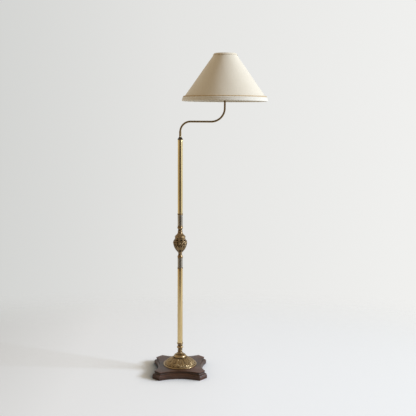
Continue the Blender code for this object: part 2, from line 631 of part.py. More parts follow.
# ---- Pivots ----------------------------------------------------------------------------------
STEM_PIECES = ("stem_tube", "stem_guide", "swivel_washer", "swivel_spindle")
SWITCH_PIECES = ("switch_shaft", "switch_knob")
ARM_PIECES = (
    *("swivel_sleeve", "arm_tube", "arm_flex"),
    *("holder_locknut", "holder_cap", "holder_shell", "holder_insulator", "centre_contact", "screw_shell"),
    *("switch_barrel", "bulb_cap", "bulb_glass"),
    *("shade_ring_lower", "shade_ring_upper", "shade_gimbal", "shade_bottom_ring"),
    *("shade_fabric", "shade_liner", "shade_band", "shade_piping", "shade_top_trim"),
)


def pivot(name, location, pieces, parent=None):
    """An empty on a joint's axis that carries the pieces which move there, and rides on a parent empty."""
    empty = bpy.data.objects.new(name, None)
    bpy.context.scene.collection.objects.link(empty)
    empty.location = location
    bpy.context.view_layer.update()
    for child in [bpy.data.objects[piece] for piece in pieces]:
        child.parent = empty
        child.matrix_parent_inverse = empty.matrix_world.inverted()
    if parent:
        empty.parent = parent
        empty.matrix_parent_inverse = parent.matrix_world.inverted()
    return empty


def build_pivots():
    stem = pivot("height_slide", (0, 0, STEM_BOTTOM), STEM_PIECES)
    arm = pivot("arm_swing", (0, 0, STEM_TOP), ARM_PIECES, stem)
    pivot("switch_turn", (ARM_REACH, 0, SWITCH_HEIGHT), SWITCH_PIECES, arm)


def main():
    for old in list(bpy.data.objects):
        bpy.data.objects.remove(old)
    mats = make_materials()
    build_base(mats)
    build_foot(mats)
    build_urn(mats)
    build_column(mats)
    build_column_top(mats)
    build_stem(mats)
    build_arm(mats)
    build_holder(mats)
    build_switch(mats)
    build_bulb(mats)
    build_shade_cover(mats)
    build_shade_frame(mats)
    build_pivots()


main()
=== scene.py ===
"""The looks of the pharmacy floor lamp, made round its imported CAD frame: cast and turned brass, a mahogany
base, a cream cloth shade, a pale floor, studio light and the camera.

Every turned piece is drawn as (radius, height) points in millimetres, its heights counted from the bottom of
the CAD node that it stands for, so that a piece sits where the frame says.
"""

import json
import math

import bmesh
import bpy
import numpy as np
from mathutils import Matrix, Vector


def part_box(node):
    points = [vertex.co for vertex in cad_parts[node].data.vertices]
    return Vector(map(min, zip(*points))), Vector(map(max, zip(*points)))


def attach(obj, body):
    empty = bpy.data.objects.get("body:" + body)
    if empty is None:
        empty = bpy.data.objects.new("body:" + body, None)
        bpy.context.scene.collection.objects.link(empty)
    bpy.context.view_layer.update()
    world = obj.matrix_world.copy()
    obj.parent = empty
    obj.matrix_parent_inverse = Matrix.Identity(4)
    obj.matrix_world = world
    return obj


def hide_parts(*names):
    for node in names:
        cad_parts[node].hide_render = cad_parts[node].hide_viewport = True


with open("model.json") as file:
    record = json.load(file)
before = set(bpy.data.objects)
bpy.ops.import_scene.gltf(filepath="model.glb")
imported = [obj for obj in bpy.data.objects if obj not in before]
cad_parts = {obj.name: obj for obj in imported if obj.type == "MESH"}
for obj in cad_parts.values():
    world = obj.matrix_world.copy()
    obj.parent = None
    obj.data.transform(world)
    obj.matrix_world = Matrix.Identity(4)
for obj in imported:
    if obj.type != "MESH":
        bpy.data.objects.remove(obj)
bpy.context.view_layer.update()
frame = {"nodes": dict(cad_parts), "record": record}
MM = 0.001
TURN = 2 * math.pi

# ---- Driving values ----
CAMERA_PLACE = (0.0447, -3.189, 1.2181)
CAMERA_PITCH = math.radians(7.62)
CAMERA_YAW = math.radians(1.533)
CAMERA_ROLL = math.radians(0.3576)
CAMERA_LENS = 59.55

KEY_BEARING = math.radians(76)  # round from the camera's side towards the right
KEY_DISTANCE = 7.0
KEY_HEIGHT = 3.1
KEY_SIZE = (2.3, 1.4)
KEY_WATTS = 565
KEY_COLOUR = (0.84, 0.98, 1.20)
KEY_TARGET = (0.1, 0, 0.8)

# The room lights the lamp and shows in its metal; the camera sees the backdrop in its place.
DARK_BEARING = math.radians(1)  # the middle of the room's dark end, behind the camera
DARK_EDGE = 0.54  # cosine of the angle from that middle where the room starts to darken
DARK_CORE = 0.96  # and of the angle within which it is darkest
ROOM_LEFT = (0.65, 0.495, 0.30)
ROOM_RIGHT = (0.90, 0.86, 0.80)
ROOM_DARK = (0.045, 0.03, 0.018)
ROOM_BACK = (0.84, 0.84, 0.82)
ROOM_CEILING = (0.50, 0.43, 0.34)
BACKDROP_LEFT = (0.655, 0.66, 0.645)
BACKDROP_MIDDLE = (0.775, 0.775, 0.76)
BACKDROP_RIGHT = (0.875, 0.875, 0.86)

FLOOR_MIDDLE = (0, -0.1, 0)
FLOOR_RADIUS = 3.0
FLOOR_DEPTH = 0.62  # its extent from front to back, against its width
FLOOR_SOLID = 0.42  # the share of its radius within which it is solid
FLOOR_CLEAR = 0.92  # and the share beyond which it is clear
# painted light: the floor's colour is darker and cooler on the left, palest near the middle, and darker and
# warmer to the right, standing in for how the light falls across it
FLOOR_LEFT = (0.71, 0.725, 0.725)
FLOOR_NEAR = (0.87, 0.878, 0.875)
FLOOR_RIGHT = (0.79, 0.785, 0.755)
# A contact shadow is painted into the floor's colour beside the lamp.
CONTACT = 0.09  # how far from the lamp the shadow painted into the floor's colour reaches
CONTACT_LEAN = (1.3, -0.35, 0)  # tips the floor's normal to the key, so that this painted shadow lies away from it
PAINTED_SHADOW_COLOUR = (0.05, 0.085, 0.12)

ARM_LEVEL = 1192 * MM
ARM_LOWER_BEND = 47 * MM
ARM_UPPER_BEND = 62 * MM
ARM_BEND_STEPS = 24

ROD_BORE = 5.6  # in millimetres, the hole for the tie rod in the turned pieces that it passes through

ROUND_SIDES = 96
SHADE_SIDES = 240


# ---- Outlines ----
def curve(*points, steps=5):
    """A smooth line through the points."""
    ends = [points[0], *points, points[-1]]
    line = []
    for around in zip(ends, ends[1:], ends[2:], ends[3:]):
        for step in range(steps):
            line.append(tuple(spline(step / steps, *values) for values in zip(*around)))
    return [*line, points[-1]]


def spline(t, a, b, c, d):
    """The value at t, 0 to 1 on the way from b to c, of a Catmull-Rom spline through all four."""
    bend = 2 * a - 5 * b + 4 * c - d
    twist = 3 * b - a - 3 * c + d
    return 0.5 * (2 * b + (c - a) * t + bend * t**2 + twist * t**3)


def straight(start, end, steps):
    """Evenly spaced points from start to end."""
    return [tuple(a + (b - a) * i / steps for a, b in zip(start, end)) for i in range(steps + 1)]


def soften(points, radius, closed):
    """The outline with each of its sharp corners rounded."""
    count = len(points)
    result = []
    for i, corner in enumerate(points):
        if not closed and i in (0, count - 1):
            result.append(corner)
            continue
        here = Vector(corner)
        back = Vector(points[i - 1]) - here
        ahead = Vector(points[(i + 1) % count]) - here
        if back.length < 1e-6 or ahead.length < 1e-6 or (math.pi - back.angle(ahead)) < 0.45:
            result.append(corner)
            continue
        start = here + back.normalized() * min(radius, back.length * 0.4)
        end = here + ahead.normalized() * min(radius, ahead.length * 0.4)
        for t in (0, 0.33, 0.67, 1):
            point = start * (1 - t) ** 2 + here * (2 * t * (1 - t)) + end * t**2
            result.append(tuple(point))
    return result


def bored(outside, top):
    """A turned outline, closed from its top down the tie rod's bore."""
    return [*outside, (ROD_BORE, top), (ROD_BORE, 0)]


# ---- Meshes ----
def add_object(name, data):
    """A new object in the scene."""
    made = bpy.data.objects.new(name, data)
    bpy.context.scene.collection.objects.link(made)
    return made


def mesh_piece(name, verts, faces, material, uvs=None, relief=None, sharp=40):
    """A shown mesh with its faces pointing out, an optional UV per corner and a relief value per point."""
    mesh = bpy.data.meshes.new(name)
    mesh.from_pydata(verts, [], faces)
    if uvs is not None:
        layer = mesh.uv_layers.new(name="UVMap")
        layer.data.foreach_set("uv", np.asarray(uvs, dtype=np.float32).ravel())
    if relief is not None:
        layer = mesh.attributes.new("relief", "FLOAT", "POINT")
        layer.data.foreach_set("value", np.asarray(relief, dtype=np.float32).ravel())
    bm = bmesh.new()
    bm.from_mesh(mesh)
    bmesh.ops.remove_doubles(bm, verts=bm.verts, dist=2e-6)
    bmesh.ops.recalc_face_normals(bm, faces=bm.faces)
    bm.to_mesh(mesh)
    bm.free()
    mesh.shade_smooth()
    mesh.set_sharp_from_angle(angle=math.radians(sharp))
    mesh.materials.append(material)
    return add_object(name, mesh)


def stand_for(piece, node):
    """The piece takes a CAD node's place: it joins the node's body, and the node is hidden."""
    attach(piece, body_of_node(node))
    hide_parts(node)
    return piece


def body_of_node(node):
    bodies = frame["record"]["behaviour"]["bodies"]
    return next(body for body, members in bodies.items() if node in members)


def slot_of_node(node):
    subparts = frame["record"]["subparts"]
    return next(part["material_slot"] for part in subparts if part["node"] == node)


def axis_of(node):
    """The upright axis through a node's middle, and its bottom: (x, y, z)."""
    low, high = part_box(node)
    return (low[0] + high[0]) / 2, (low[1] + high[1]) / 2, low[2]


def half_width(node):
    """Half a node's width, in millimetres."""
    low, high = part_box(node)
    return (high[0] - low[0]) / 2 / MM


def height_of(node):
    """A node's height, in millimetres."""
    low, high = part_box(node)
    return (high[2] - low[2]) / MM


def grid_faces(around, along, closed):
    """The faces of a grid that wraps round, and wraps along too if the outline is closed."""
    faces = []
    last = along if closed else along - 1
    for i in range(around):
        k = (i + 1) % around
        for j in range(last):
            m = (j + 1) % along
            faces.append((i * along + j, k * along + j, k * along + m, i * along + m))
    return faces


def grid_uvs(around, along, closed, width, lengths):
    """UVs in metres over the same faces: round the piece, and along its outline."""
    uvs = []
    last = along if closed else along - 1
    for i in range(around):
        u0 = width * i / around
        u1 = width * (i + 1) / around
        for j in range(last):
            v0 = lengths[j]
            v1 = lengths[j + 1]
            uvs += [(u0, v0), (u1, v0), (u1, v1), (u0, v1)]
    return uvs


def lathe(node, points, material, sides=ROUND_SIDES, relief=None, closed=True, fillet=0.35, sharp=40):
    """A turned piece in a CAD node's place, spun from (radius, height) points in millimetres.

    The outline runs up the outside and down the bore. relief(angle, radius, height) gives how far the surface
    stands out, in millimetres, and how worn it is, from 0 in a recess to 1 on a high spot.
    """
    x, y, z = axis_of(node)
    outline = np.array(soften(points, fillet, closed))
    radius, height = outline[:, 0], outline[:, 1]
    along = len(outline)
    if closed:
        before, after = np.roll(outline, 1, axis=0), np.roll(outline, -1, axis=0)
    else:
        before = np.vstack([outline[:1], outline[:-1]])
        after = np.vstack([outline[1:], outline[-1:]])
    heading = after - before
    heading /= np.maximum(np.linalg.norm(heading, axis=1), 1e-9)[:, None]
    out_r, out_z = heading[:, 1], -heading[:, 0]
    angle = np.arange(sides)[:, None] * TURN / sides
    worn = None
    r = np.broadcast_to(radius, (sides, along))
    h = np.broadcast_to(height, (sides, along))
    if relief:
        stand, worn = relief(angle, r, h)
        facing_out = np.clip((out_r + out_z) * 4, 0, 1)
        stand = stand * facing_out
        worn = np.where(facing_out > 0, worn, 0.3)
        r = r + stand * out_r
        h = h + stand * out_z
    placed = [x + r * np.cos(angle) * MM, y + r * np.sin(angle) * MM, z + h * MM]
    verts = np.stack(placed, axis=-1).reshape(-1, 3)
    steps = np.linalg.norm(np.roll(outline, -1, axis=0) - outline, axis=1)
    lengths = np.concatenate([[0], np.cumsum(steps)]) * MM
    width = TURN * radius.max() * MM
    faces = grid_faces(sides, along, closed)
    uvs = grid_uvs(sides, along, closed, width, lengths)
    flat_worn = None if worn is None else worn.ravel()
    piece = mesh_piece(f"{node}_fine", verts.tolist(), faces, material, uvs, flat_worn, sharp)
    return stand_for(piece, node)


def tube(node, wall, material, sides=ROUND_SIDES):
    """A plain tube in a CAD node's place."""
    outer = half_width(node)
    top = height_of(node)
    points = [*straight((outer, 0), (outer, top), 24), *straight((outer - wall, top), (outer - wall, 0), 4)]
    return lathe(node, points, material, sides, fillet=0.4)


def swept(node, path, section, material, closed=False, sharp=40):
    """A bar along a path that lies in an upright plane or, if it is closed, in a level one.

    section(angle, distance) gives its radius in metres, at a distance along the path.
    """
    points = [Vector(p) for p in path]
    count = len(points)
    ahead = [points[(i + 1) % count] - points[i] for i in range(count if closed else count - 1)]
    if closed:
        tangents = [(ahead[i - 1] + ahead[i]).normalized() for i in range(count)]
    else:
        tangents = [ahead[0].normalized()]
        tangents += [(a.normalized() + b.normalized()).normalized() for a, b in zip(ahead, ahead[1:])]
        tangents += [ahead[-1].normalized()]
    sides = 24
    verts = []
    distance = 0.0
    for i, (point, tangent) in enumerate(zip(points, tangents)):
        across = Vector((0, 1, 0)) if not closed else Vector((0, 0, 1))
        up = across.cross(tangent).normalized()
        for k in range(sides):
            angle = TURN * k / sides
            reach = section(angle, distance)
            verts.append(point + (across * math.cos(angle) + up * math.sin(angle)) * reach)
        if i < len(ahead):
            distance += ahead[i].length
    faces = []
    for i in range(count if closed else count - 1):
        m = (i + 1) % count
        for k in range(sides):
            n = (k + 1) % sides
            faces.append((i * sides + k, i * sides + n, m * sides + n, m * sides + k))
    if not closed:
        faces.append(tuple(range(sides)))
        faces.append(tuple((count - 1) * sides + k for k in range(sides)))
    piece = mesh_piece(f"{node}_fine", [tuple(v) for v in verts], faces, material, sharp=sharp)
    return stand_for(piece, node)


# ---- Material nodes ----
def add_node(tree, kind, inputs, output=0, **settings):
    """Adds a shader node, sets or links its inputs, and returns one of its outputs."""
    made = tree.nodes.new(f"ShaderNode{kind}")
    for key, value in settings.items():
        setattr(made, key, value)
    for key, value in inputs.items():
        target = made.inputs[key]
        if isinstance(value, bpy.types.NodeSocket):
            tree.links.new(value, target)
        elif isinstance(value, tuple) and target.type == "RGBA":
            target.default_value = (*value, 1)
        else:
            target.default_value = value
    return made.outputs[output]


class Paint:
    """A procedural material: a Principled shader and short calls that add and join nodes."""

    def __init__(self, name, **values):
        self.material = bpy.data.materials.new(name)
        self.material.use_nodes = True
        self.tree = self.material.node_tree
        self.shader = self.tree.nodes["Principled BSDF"]
        for key, value in values.items():
            self.set(key.replace("_", " "), value)

    def set(self, socket, value):
        target = self.shader.inputs[socket]
        if isinstance(value, bpy.types.NodeSocket):
            self.tree.links.new(value, target)
        else:
            target.default_value = (*value, 1) if isinstance(value, tuple) and len(value) == 3 else value

    def node(self, kind, inputs, output=0, **settings):
        return add_node(self.tree, kind, inputs, output, **settings)

    def place(self, stretch=(1, 1, 1), source="Object"):
        coordinates = self.node("TexCoord", {}, source)
        return self.node("Mapping", {"Vector": coordinates, "Scale": stretch})

    def noise(self, place, scale, detail, roughness=0.55, distortion=0.0):
        values = {"Scale": scale, "Detail": detail, "Roughness": roughness, "Distortion": distortion}
        return self.node("TexNoise", {"Vector": place, **values})

    def wave(self, place, scale, distortion, direction, detail_scale):
        values = {"Scale": scale, "Distortion": distortion, "Detail": 2, "Detail Scale": detail_scale}
        return self.node("TexWave", {"Vector": place, **values}, 1, bands_direction=direction)

    def range(self, value, low, high, to_low=0.0, to_high=1.0):
        ends = {"From Min": low, "From Max": high, "To Min": to_low, "To Max": to_high}
        return self.node("MapRange", {"Value": value, **ends})

    def mix(self, share, first, second):
        return self.node("Mix", {0: share, 6: first, 7: second}, 2, data_type="RGBA")

    def math(self, how, first, second):
        return self.node("Math", {0: first, 1: second}, operation=how)

    def bump(self, height, distance, strength=1.0, under=None):
        inputs = {"Height": height, "Distance": distance, "Strength": strength}
        if under:
            inputs["Normal"] = under
        return self.node("Bump", inputs)

    def relief(self):
        return self.node("Attribute", {}, 2, attribute_name="relief")


def polished_metal(name, clean, tarnish, roughness, mottle=(0.42, 0.72), rough=1.0):
    """A turned and polished metal that has mellowed: soft mottling, fine lengthwise scratches and specks.

    rough scales its specks, scratches and waves.
    """
    paint = Paint(name, Metallic=1.0, Coat_Weight=0.5, Coat_Roughness=0.2)
    place = paint.place((1, 1, 0.15))
    plain = paint.place()
    cloud = paint.noise(place, 26, 6, 0.6)
    specks = paint.noise(plain, 420, 3, 0.7)
    tarnished = paint.range(cloud, *mottle)
    spotted = paint.range(specks, 0.66, 0.76, 0, 0.4 * rough)
    colour = paint.mix(tarnished, clean, tarnish)
    colour = paint.mix(spotted, colour, tuple(c * 0.35 for c in tarnish))
    paint.set("Base Color", colour)
    paint.set("Roughness", paint.range(cloud, 0.3, 0.75, roughness, roughness + 0.14))
    scratches = paint.noise(paint.place((1, 1, 0.02)), 900, 2)
    waves = paint.noise(plain, 40, 2)
    fine = paint.bump(scratches, 0.00004, 0.25 * rough)
    paint.set("Normal", paint.bump(waves, 0.00012, 0.2 * rough, fine))
    return paint.material


def cast_metal(name, high, low, roughness=0.3):
    """Cast brass with polished high spots and dark patina in its recesses, as the relief value says."""
    paint = Paint(name, Metallic=1.0)
    plain = paint.place()
    cloud = paint.noise(plain, 70, 5, 0.6)
    grain = paint.noise(plain, 900, 3, 0.6)
    relief = paint.relief()
    uneven = paint.math("ADD", relief, paint.range(cloud, 0.3, 0.7, -0.22, 0.22))
    shown = paint.range(uneven, 0.12, 0.72)
    colour = paint.mix(shown, low, high)
    tarnish = paint.range(cloud, 0.5, 0.72, 0, 0.5)
    colour = paint.mix(tarnish, colour, tuple((a + b) / 2.6 for a, b in zip(high, low)))
    paint.set("Base Color", colour)
    paint.set("Roughness", paint.range(shown, 0, 1, roughness + 0.28, roughness))
    pits = paint.bump(grain, 0.00012, 0.5)
    paint.set("Normal", paint.bump(cloud, 0.0005, 0.3, pits))
    return paint.material


def mahogany():
    """Old waxed mahogany: long dark grain, reddish where its edges are rubbed, pores and a soft polish, and
    painted shade where its relief value is below 0.
    """
    paint = Paint("mahogany_wax", Specular_IOR_Level=0.25, Coat_Weight=0.2, Coat_Roughness=0.3)
    long = paint.place((0.14, 1, 1))
    figure = paint.noise(long, 34, 6, 0.62, 0.8)
    streaks = paint.noise(paint.place((0.05, 1, 1)), 150, 5, 0.6)
    pores = paint.noise(paint.place((0.06, 1, 1)), 900, 2, 0.5)
    blotch = paint.noise(paint.place(), 16, 3)
    dark, brown, red = (0.012, 0.006, 0.0035), (0.070, 0.031, 0.016), (0.22, 0.042, 0.016)
    colour = paint.mix(paint.range(figure, 0.35, 0.68), dark, brown)
    colour = paint.mix(paint.range(streaks, 0.5, 0.78, 0, 0.55), colour, (0.125, 0.061, 0.031))
    colour = paint.mix(paint.range(pores, 0.56, 0.7, 0, 0.6), colour, (0.010, 0.006, 0.004))
    colour = paint.mix(paint.range(blotch, 0.4, 0.7, 0, 0.35), colour, (0.055, 0.028, 0.018))
    relief = paint.relief()
    rubbed = paint.math("MULTIPLY", paint.range(relief, 0, 1), paint.range(figure, 0.3, 0.62, 0.25, 1))
    # painted shade: where the relief value falls below 0, in the base's cove, the colour darkens as if in
    # shadow
    colour = paint.mix(paint.range(relief, 0, -1, 0, 0.85), colour, (0.008, 0.005, 0.003))
    paint.set("Base Color", paint.mix(rubbed, colour, red))
    paint.set("Roughness", paint.range(streaks, 0.3, 0.8, 0.34, 0.56))
    grain = paint.bump(pores, 0.00008, 0.6)
    paint.set("Normal", paint.bump(figure, 0.0004, 0.2, grain))
    return paint.material


def cloth(name, light, shade, weave=0.0009, slub=0.25):
    """Plain-woven linen: two crossing threads of uneven thickness, a soft sheen and faint ageing.

    A thread repeats every TURN * weave metres.
    """
    paint = Paint(name, Roughness=0.85, Sheen_Weight=0.35, Sheen_Roughness=0.5)
    place = paint.place((1, 1, 1), "UV")
    scale = 1 / weave / 20  # a wave texture of scale 1 turns by 20 radians in a metre
    warp = paint.wave(place, scale, 0.6, "X", 3)
    weft = paint.wave(place, scale, 0.6, "Y", 3)
    threads = paint.math("MULTIPLY", warp, weft)
    across = paint.noise(paint.place((1, 40, 1), "UV"), 30, 3)
    down = paint.noise(paint.place((40, 1, 1), "UV"), 30, 3)
    thick = [paint.range(way, 0.4, 0.75, 0, slub) for way in (across, down)]
    slubs = paint.math("ADD", *thick)
    age = paint.noise(paint.place(), 9, 3)
    colour = paint.mix(slubs, light, shade)
    colour = paint.mix(paint.range(threads, 0, 0.5, 0.12, 0), colour, shade)
    paint.set("Base Color", paint.mix(paint.range(age, 0.45, 0.75, 0, 0.22), colour, shade))
    coarse = paint.bump(slubs, 0.0001, 0.3)
    paint.set("Normal", paint.bump(threads, 0.00006, 0.3, coarse))
    return paint.material


def felted():
    """Dark green baize."""
    paint = Paint("baize", Roughness=0.95, Sheen_Weight=0.5, Sheen_Roughness=0.6)
    plain = paint.place()
    fibres = paint.noise(plain, 1500, 4, 0.7)
    cloud = paint.noise(plain, 30, 3)
    colour = paint.mix(paint.range(fibres, 0.35, 0.65), (0.012, 0.030, 0.018), (0.035, 0.075, 0.045))
    paint.set("Base Color", paint.mix(paint.range(cloud, 0.4, 0.7, 0, 0.4), colour, (0.025, 0.04, 0.028)))
    paint.set("Normal", paint.bump(fibres, 0.0004, 0.8))
    return paint.material


def moulded(name, colour, fleck):
    """Moulded phenolic: a deep gloss, faint marbling and a fine orange-peel."""
    paint = Paint(name, Coat_Weight=0.3, Coat_Roughness=0.15)
    plain = paint.place()
    marble = paint.noise(plain, 60, 5, 0.6, 1.5)
    peel = paint.noise(plain, 500, 2)
    paint.set("Base Color", paint.mix(paint.range(marble, 0.45, 0.7), colour, fleck))
    paint.set("Roughness", paint.range(marble, 0.3, 0.7, 0.32, 0.47))
    paint.set("Normal", paint.bump(peel, 0.00005, 0.4))
    return paint.material


def plain_metal(name, colour, roughness, grain=500, metallic=1.0):
    """A plain metal with brushed grain and dull patches."""
    paint = Paint(name, Metallic=metallic)
    plain = paint.place()
    cloud = paint.noise(plain, 40, 4)
    fine = paint.noise(plain, grain, 3)
    paint.set("Base Color", paint.mix(paint.range(cloud, 0.4, 0.7), colour, tuple(c * 0.6 for c in colour)))
    paint.set("Roughness", paint.range(cloud, 0.3, 0.7, roughness, roughness + 0.2))
    paint.set("Normal", paint.bump(fine, 0.0001, 0.4))
    return paint.material


def braided(name, light, dark):
    """Sleeving or cord wound from fine gold thread."""
    paint = Paint(name, Roughness=0.55, Sheen_Weight=0.4)
    plain = paint.place()
    threads = paint.wave(plain, 160, 2.0, "DIAGONAL", 4)
    fluff = paint.noise(plain, 700, 3)
    colour = paint.mix(paint.range(threads, 0.1, 0.8), dark, light)
    paint.set("Base Color", paint.mix(paint.range(fluff, 0.5, 0.75, 0, 0.5), colour, dark))
    paint.set("Normal", paint.bump(threads, 0.0002, 0.7))
    return paint.material


def card():
    """The shade's white lining, laminated to card: a faint laid grain and some yellowing."""
    paint = Paint("lining_card", Roughness=0.55)
    plain = paint.place()
    age = paint.noise(plain, 12, 4)
    laid = paint.noise(paint.place((1, 40, 1), "UV"), 60, 3)
    white, cream = (0.74, 0.70, 0.60), (0.60, 0.52, 0.38)
    colour = paint.mix(paint.range(age, 0.4, 0.75, 0, 0.6), white, cream)
    paint.set("Base Color", paint.mix(paint.range(laid, 0.4, 0.7, 0, 0.15), colour, cream))
    paint.set("Normal", paint.bump(laid, 0.0001, 0.3))
    return paint.material


def opal():
    """Opal glass: milky, glossy and a little uneven inside."""
    paint = Paint("opal_glass", Roughness=0.12, IOR=1.5, Coat_Weight=0.6, Coat_Roughness=0.05)
    milk = paint.noise(paint.place(), 30, 3)
    paint.set("Base Color", paint.mix(paint.range(milk, 0.3, 0.7), (0.86, 0.85, 0.81), (0.78, 0.77, 0.72)))
    return paint.material


def make_paints():
    brass_clean, brass_tarnish = (0.74, 0.61, 0.33), (0.46, 0.345, 0.15)
    dull_clean, dull_tarnish = (0.68, 0.51, 0.245), (0.44, 0.31, 0.125)
    arm_shaded_clean, arm_shaded_tarnish = (0.27, 0.185, 0.083), (0.15, 0.095, 0.038)
    return {
        "brass": polished_metal("aged_brass", brass_clean, brass_tarnish, 0.20),
        "dull_brass": polished_metal("dulled_brass", dull_clean, dull_tarnish, 0.20),
        # painted shade: the arm and its swivel sleeve take a darker, browner copy of the brass, standing in
        # for the shade and dark reflections on the arm
        "arm_brass": polished_metal("brass_darkened_as_shade", arm_shaded_clean, arm_shaded_tarnish, 0.24, (0.5, 0.8), 0.2),
        "cast_brass": cast_metal("antique_cast_brass", (0.41, 0.29, 0.15), (0.045, 0.028, 0.013)),
        "urn_brass": cast_metal("dark_cast_brass", (0.30, 0.205, 0.105), (0.030, 0.018, 0.009)),
        "silvered": polished_metal("worn_silvering", (0.40, 0.375, 0.325), (0.16, 0.13, 0.095), 0.20),
        "dark_bronze": cast_metal("dark_bronze", (0.075, 0.055, 0.035), (0.012, 0.009, 0.007), 0.34),
        "mahogany": mahogany(),
        "felt": felted(),
        "iron": plain_metal("cast_iron", (0.08, 0.08, 0.08), 0.6, 260, 0.7),
        "steel": plain_metal("plain_steel", (0.50, 0.50, 0.49), 0.3),
        "nickel": plain_metal("nickelled_steel", (0.60, 0.58, 0.53), 0.22, 800),
        "phenolic": moulded("brown_phenolic", (0.020, 0.011, 0.007), (0.045, 0.024, 0.013)),
        "flex": braided("flex_sleeving", (0.30, 0.20, 0.07), (0.10, 0.06, 0.02)),
        "fabric": cloth("cream_linen", (0.71, 0.64, 0.51), (0.60, 0.51, 0.36)),
        "padding": cloth("cream_padding", (0.685, 0.635, 0.535), (0.62, 0.56, 0.44), 0.0016, 0.15),
        "binding": cloth("cream_binding", (0.70, 0.62, 0.48), (0.58, 0.48, 0.33)),
        "liner": card(),
        "braid": braided("gold_cord", (0.66, 0.46, 0.205), (0.32, 0.205, 0.08)),
        "glass": opal(),
    }


# ---- Relief ----
def sector(angle, count, shift=0.0):
    """Where an angle lies across one of count equal sectors, from -1 to 1."""
    return ((angle * count / TURN + shift) % 1 - 0.5) * 2


def dome(square):
    """A round-topped swelling over where square is under 1."""
    return np.sqrt(np.clip(1 - square, 0, 1))


def leaf(across, along, width, lobes, groove=0.09):
    """An acanthus leaf: across is -1 to 1 over the sector and along is 0 at its root to 1 at its tip."""
    inside = (along >= 0) & (along <= 1)
    spread = width * np.sin(math.pi * np.clip(along, 0, 1) ** 0.75) ** 0.6
    spread = spread * (1 + 0.16 * np.cos(TURN * lobes * along)) + 1e-4
    body = dome((across / spread) ** 2)
    rib = np.exp(-((across / groove) ** 2))
    veins = 0.5 + 0.5 * np.cos(TURN * (along * lobes - np.abs(across) / (spread + 0.2) * 1.4))
    beside_rib = np.exp(-(((np.abs(across) - 2 * groove) / groove) ** 2))
    height = body * (0.62 + 0.26 * veins) + 0.16 * rib * body - 0.22 * beside_rib * body
    return np.where(inside, np.clip(height, 0, 1.2), 0)


def scroll(x, y, radius, pitch, hand=1):
    """A volute: a raised spiral band round a button, in millimetres from its middle."""
    distance = np.hypot(x, y)
    bearing = np.arctan2(y, hand * x)
    band = 0.5 + 0.5 * np.cos(TURN * (distance / pitch) - bearing)
    button = dome((distance / (0.28 * radius)) ** 2)
    fade = np.clip(1.25 * (1 - (distance / radius) ** 2), 0, 1)
    return np.maximum(band * fade, button)


def flange_relief(angle, radius, height):
    """Acanthus leaves that point outwards, with paired scrolls, small leaves and foliage between them."""
    inner, outer, count = 32.5, 74.5, 12
    along = (radius - inner) / (outer - inner)
    between = sector(angle, count, 0.5)
    on_leaf = sector(angle, count)
    big = 0.9 * leaf(on_leaf + 0.05 * np.sin(along * 9), along / 0.84, 0.60, 5)
    small = 0.8 * leaf(between, along / 0.52, 0.52, 3, 0.12)
    arc_mm = math.pi * radius / count
    from_inner = along * (outer - inner)
    curls = np.zeros_like(big)
    for hand in (-1, 1):
        x = between * arc_mm - hand * 5.4
        curls = np.maximum(curls, 0.85 * scroll(x, from_inner - 31, 7.4, 3.8, hand))
    bud_x = sector(angle, 2 * count, 0.5) * arc_mm / 2
    buds = 0.75 * dome((bud_x / 2.6) ** 2 + ((from_inner - 39.5) / 2.0) ** 2)
    stems = np.sin(TURN * (from_inner / 6.5) + 3 * np.cos(angle * 30))
    foliage = 0.34 + 0.30 * stems * np.cos(angle * 40)
    carved = np.maximum.reduce([big, small, curls, buds, foliage])
    field = (along > -0.02) & (along < 1.0)
    fade = np.clip((along + 0.02) * 14, 0, 1) * np.clip((1.0 - along) * 12, 0, 1)
    wobble = 0.06 * np.sin(7 * angle + along * 9) + 0.05 * np.sin(19 * angle - along * 23)
    stand = np.where(field, -0.8 + 2.2 * carved * fade + wobble, 0)
    worn = np.where(field, np.clip(0.1 + 0.95 * carved * fade, 0, 1), 0.85)
    return stand, worn


def urn_body_relief(angle, radius, height):
    """Leaves that climb the lower body, and a band of ovals in raised rings round its shoulder."""
    leaves = np.maximum(
        leaf(sector(angle, 8), (height - 7) / 30, 0.78, 5, 0.11),
        0.72 * leaf(sector(angle, 8, 0.5), (height - 16) / 21, 0.55, 4, 0.12),
    )
    ovals = 13
    x = sector(angle, ovals) / 0.60
    y = (height - 46.6) / 5.6
    ring = np.exp(-(((np.hypot(x, y) - 1.35) / 0.20) ** 2))
    eggs = np.maximum(dome(x**2 + y**2), 0.55 * ring)
    in_leaves = (height > 6) & (height < 38)
    in_eggs = (height > 39) & (height < 54.5)
    stand = np.where(in_leaves, 1.5 * leaves - 0.5, np.where(in_eggs, 2.0 * eggs - 0.9, 0))
    worn = np.where(in_leaves, 0.08 + 0.85 * leaves, np.where(in_eggs, 0.05 + 0.95 * eggs, 0.6))
    return stand, worn


def urn_lid_relief(angle, radius, height):
    """Drooping petals round the skirt, and narrow lobes over the dome above it."""
    petals = leaf(sector(angle, 9), 1 - height / 12.5, 0.9, 2, 0.1)
    lobes = np.abs(np.cos(angle * 9)) ** 0.6
    on_skirt = height < 12
    on_dome = (height > 17.5) & (height < 31)
    stand = np.where(on_skirt, 1.7 * petals - 0.2, np.where(on_dome, 0.9 * lobes - 0.5, 0))
    worn = np.where(on_skirt, 0.05 + 0.9 * petals, np.where(on_dome, 0.15 + 0.75 * lobes, 0.75))
    return stand, worn


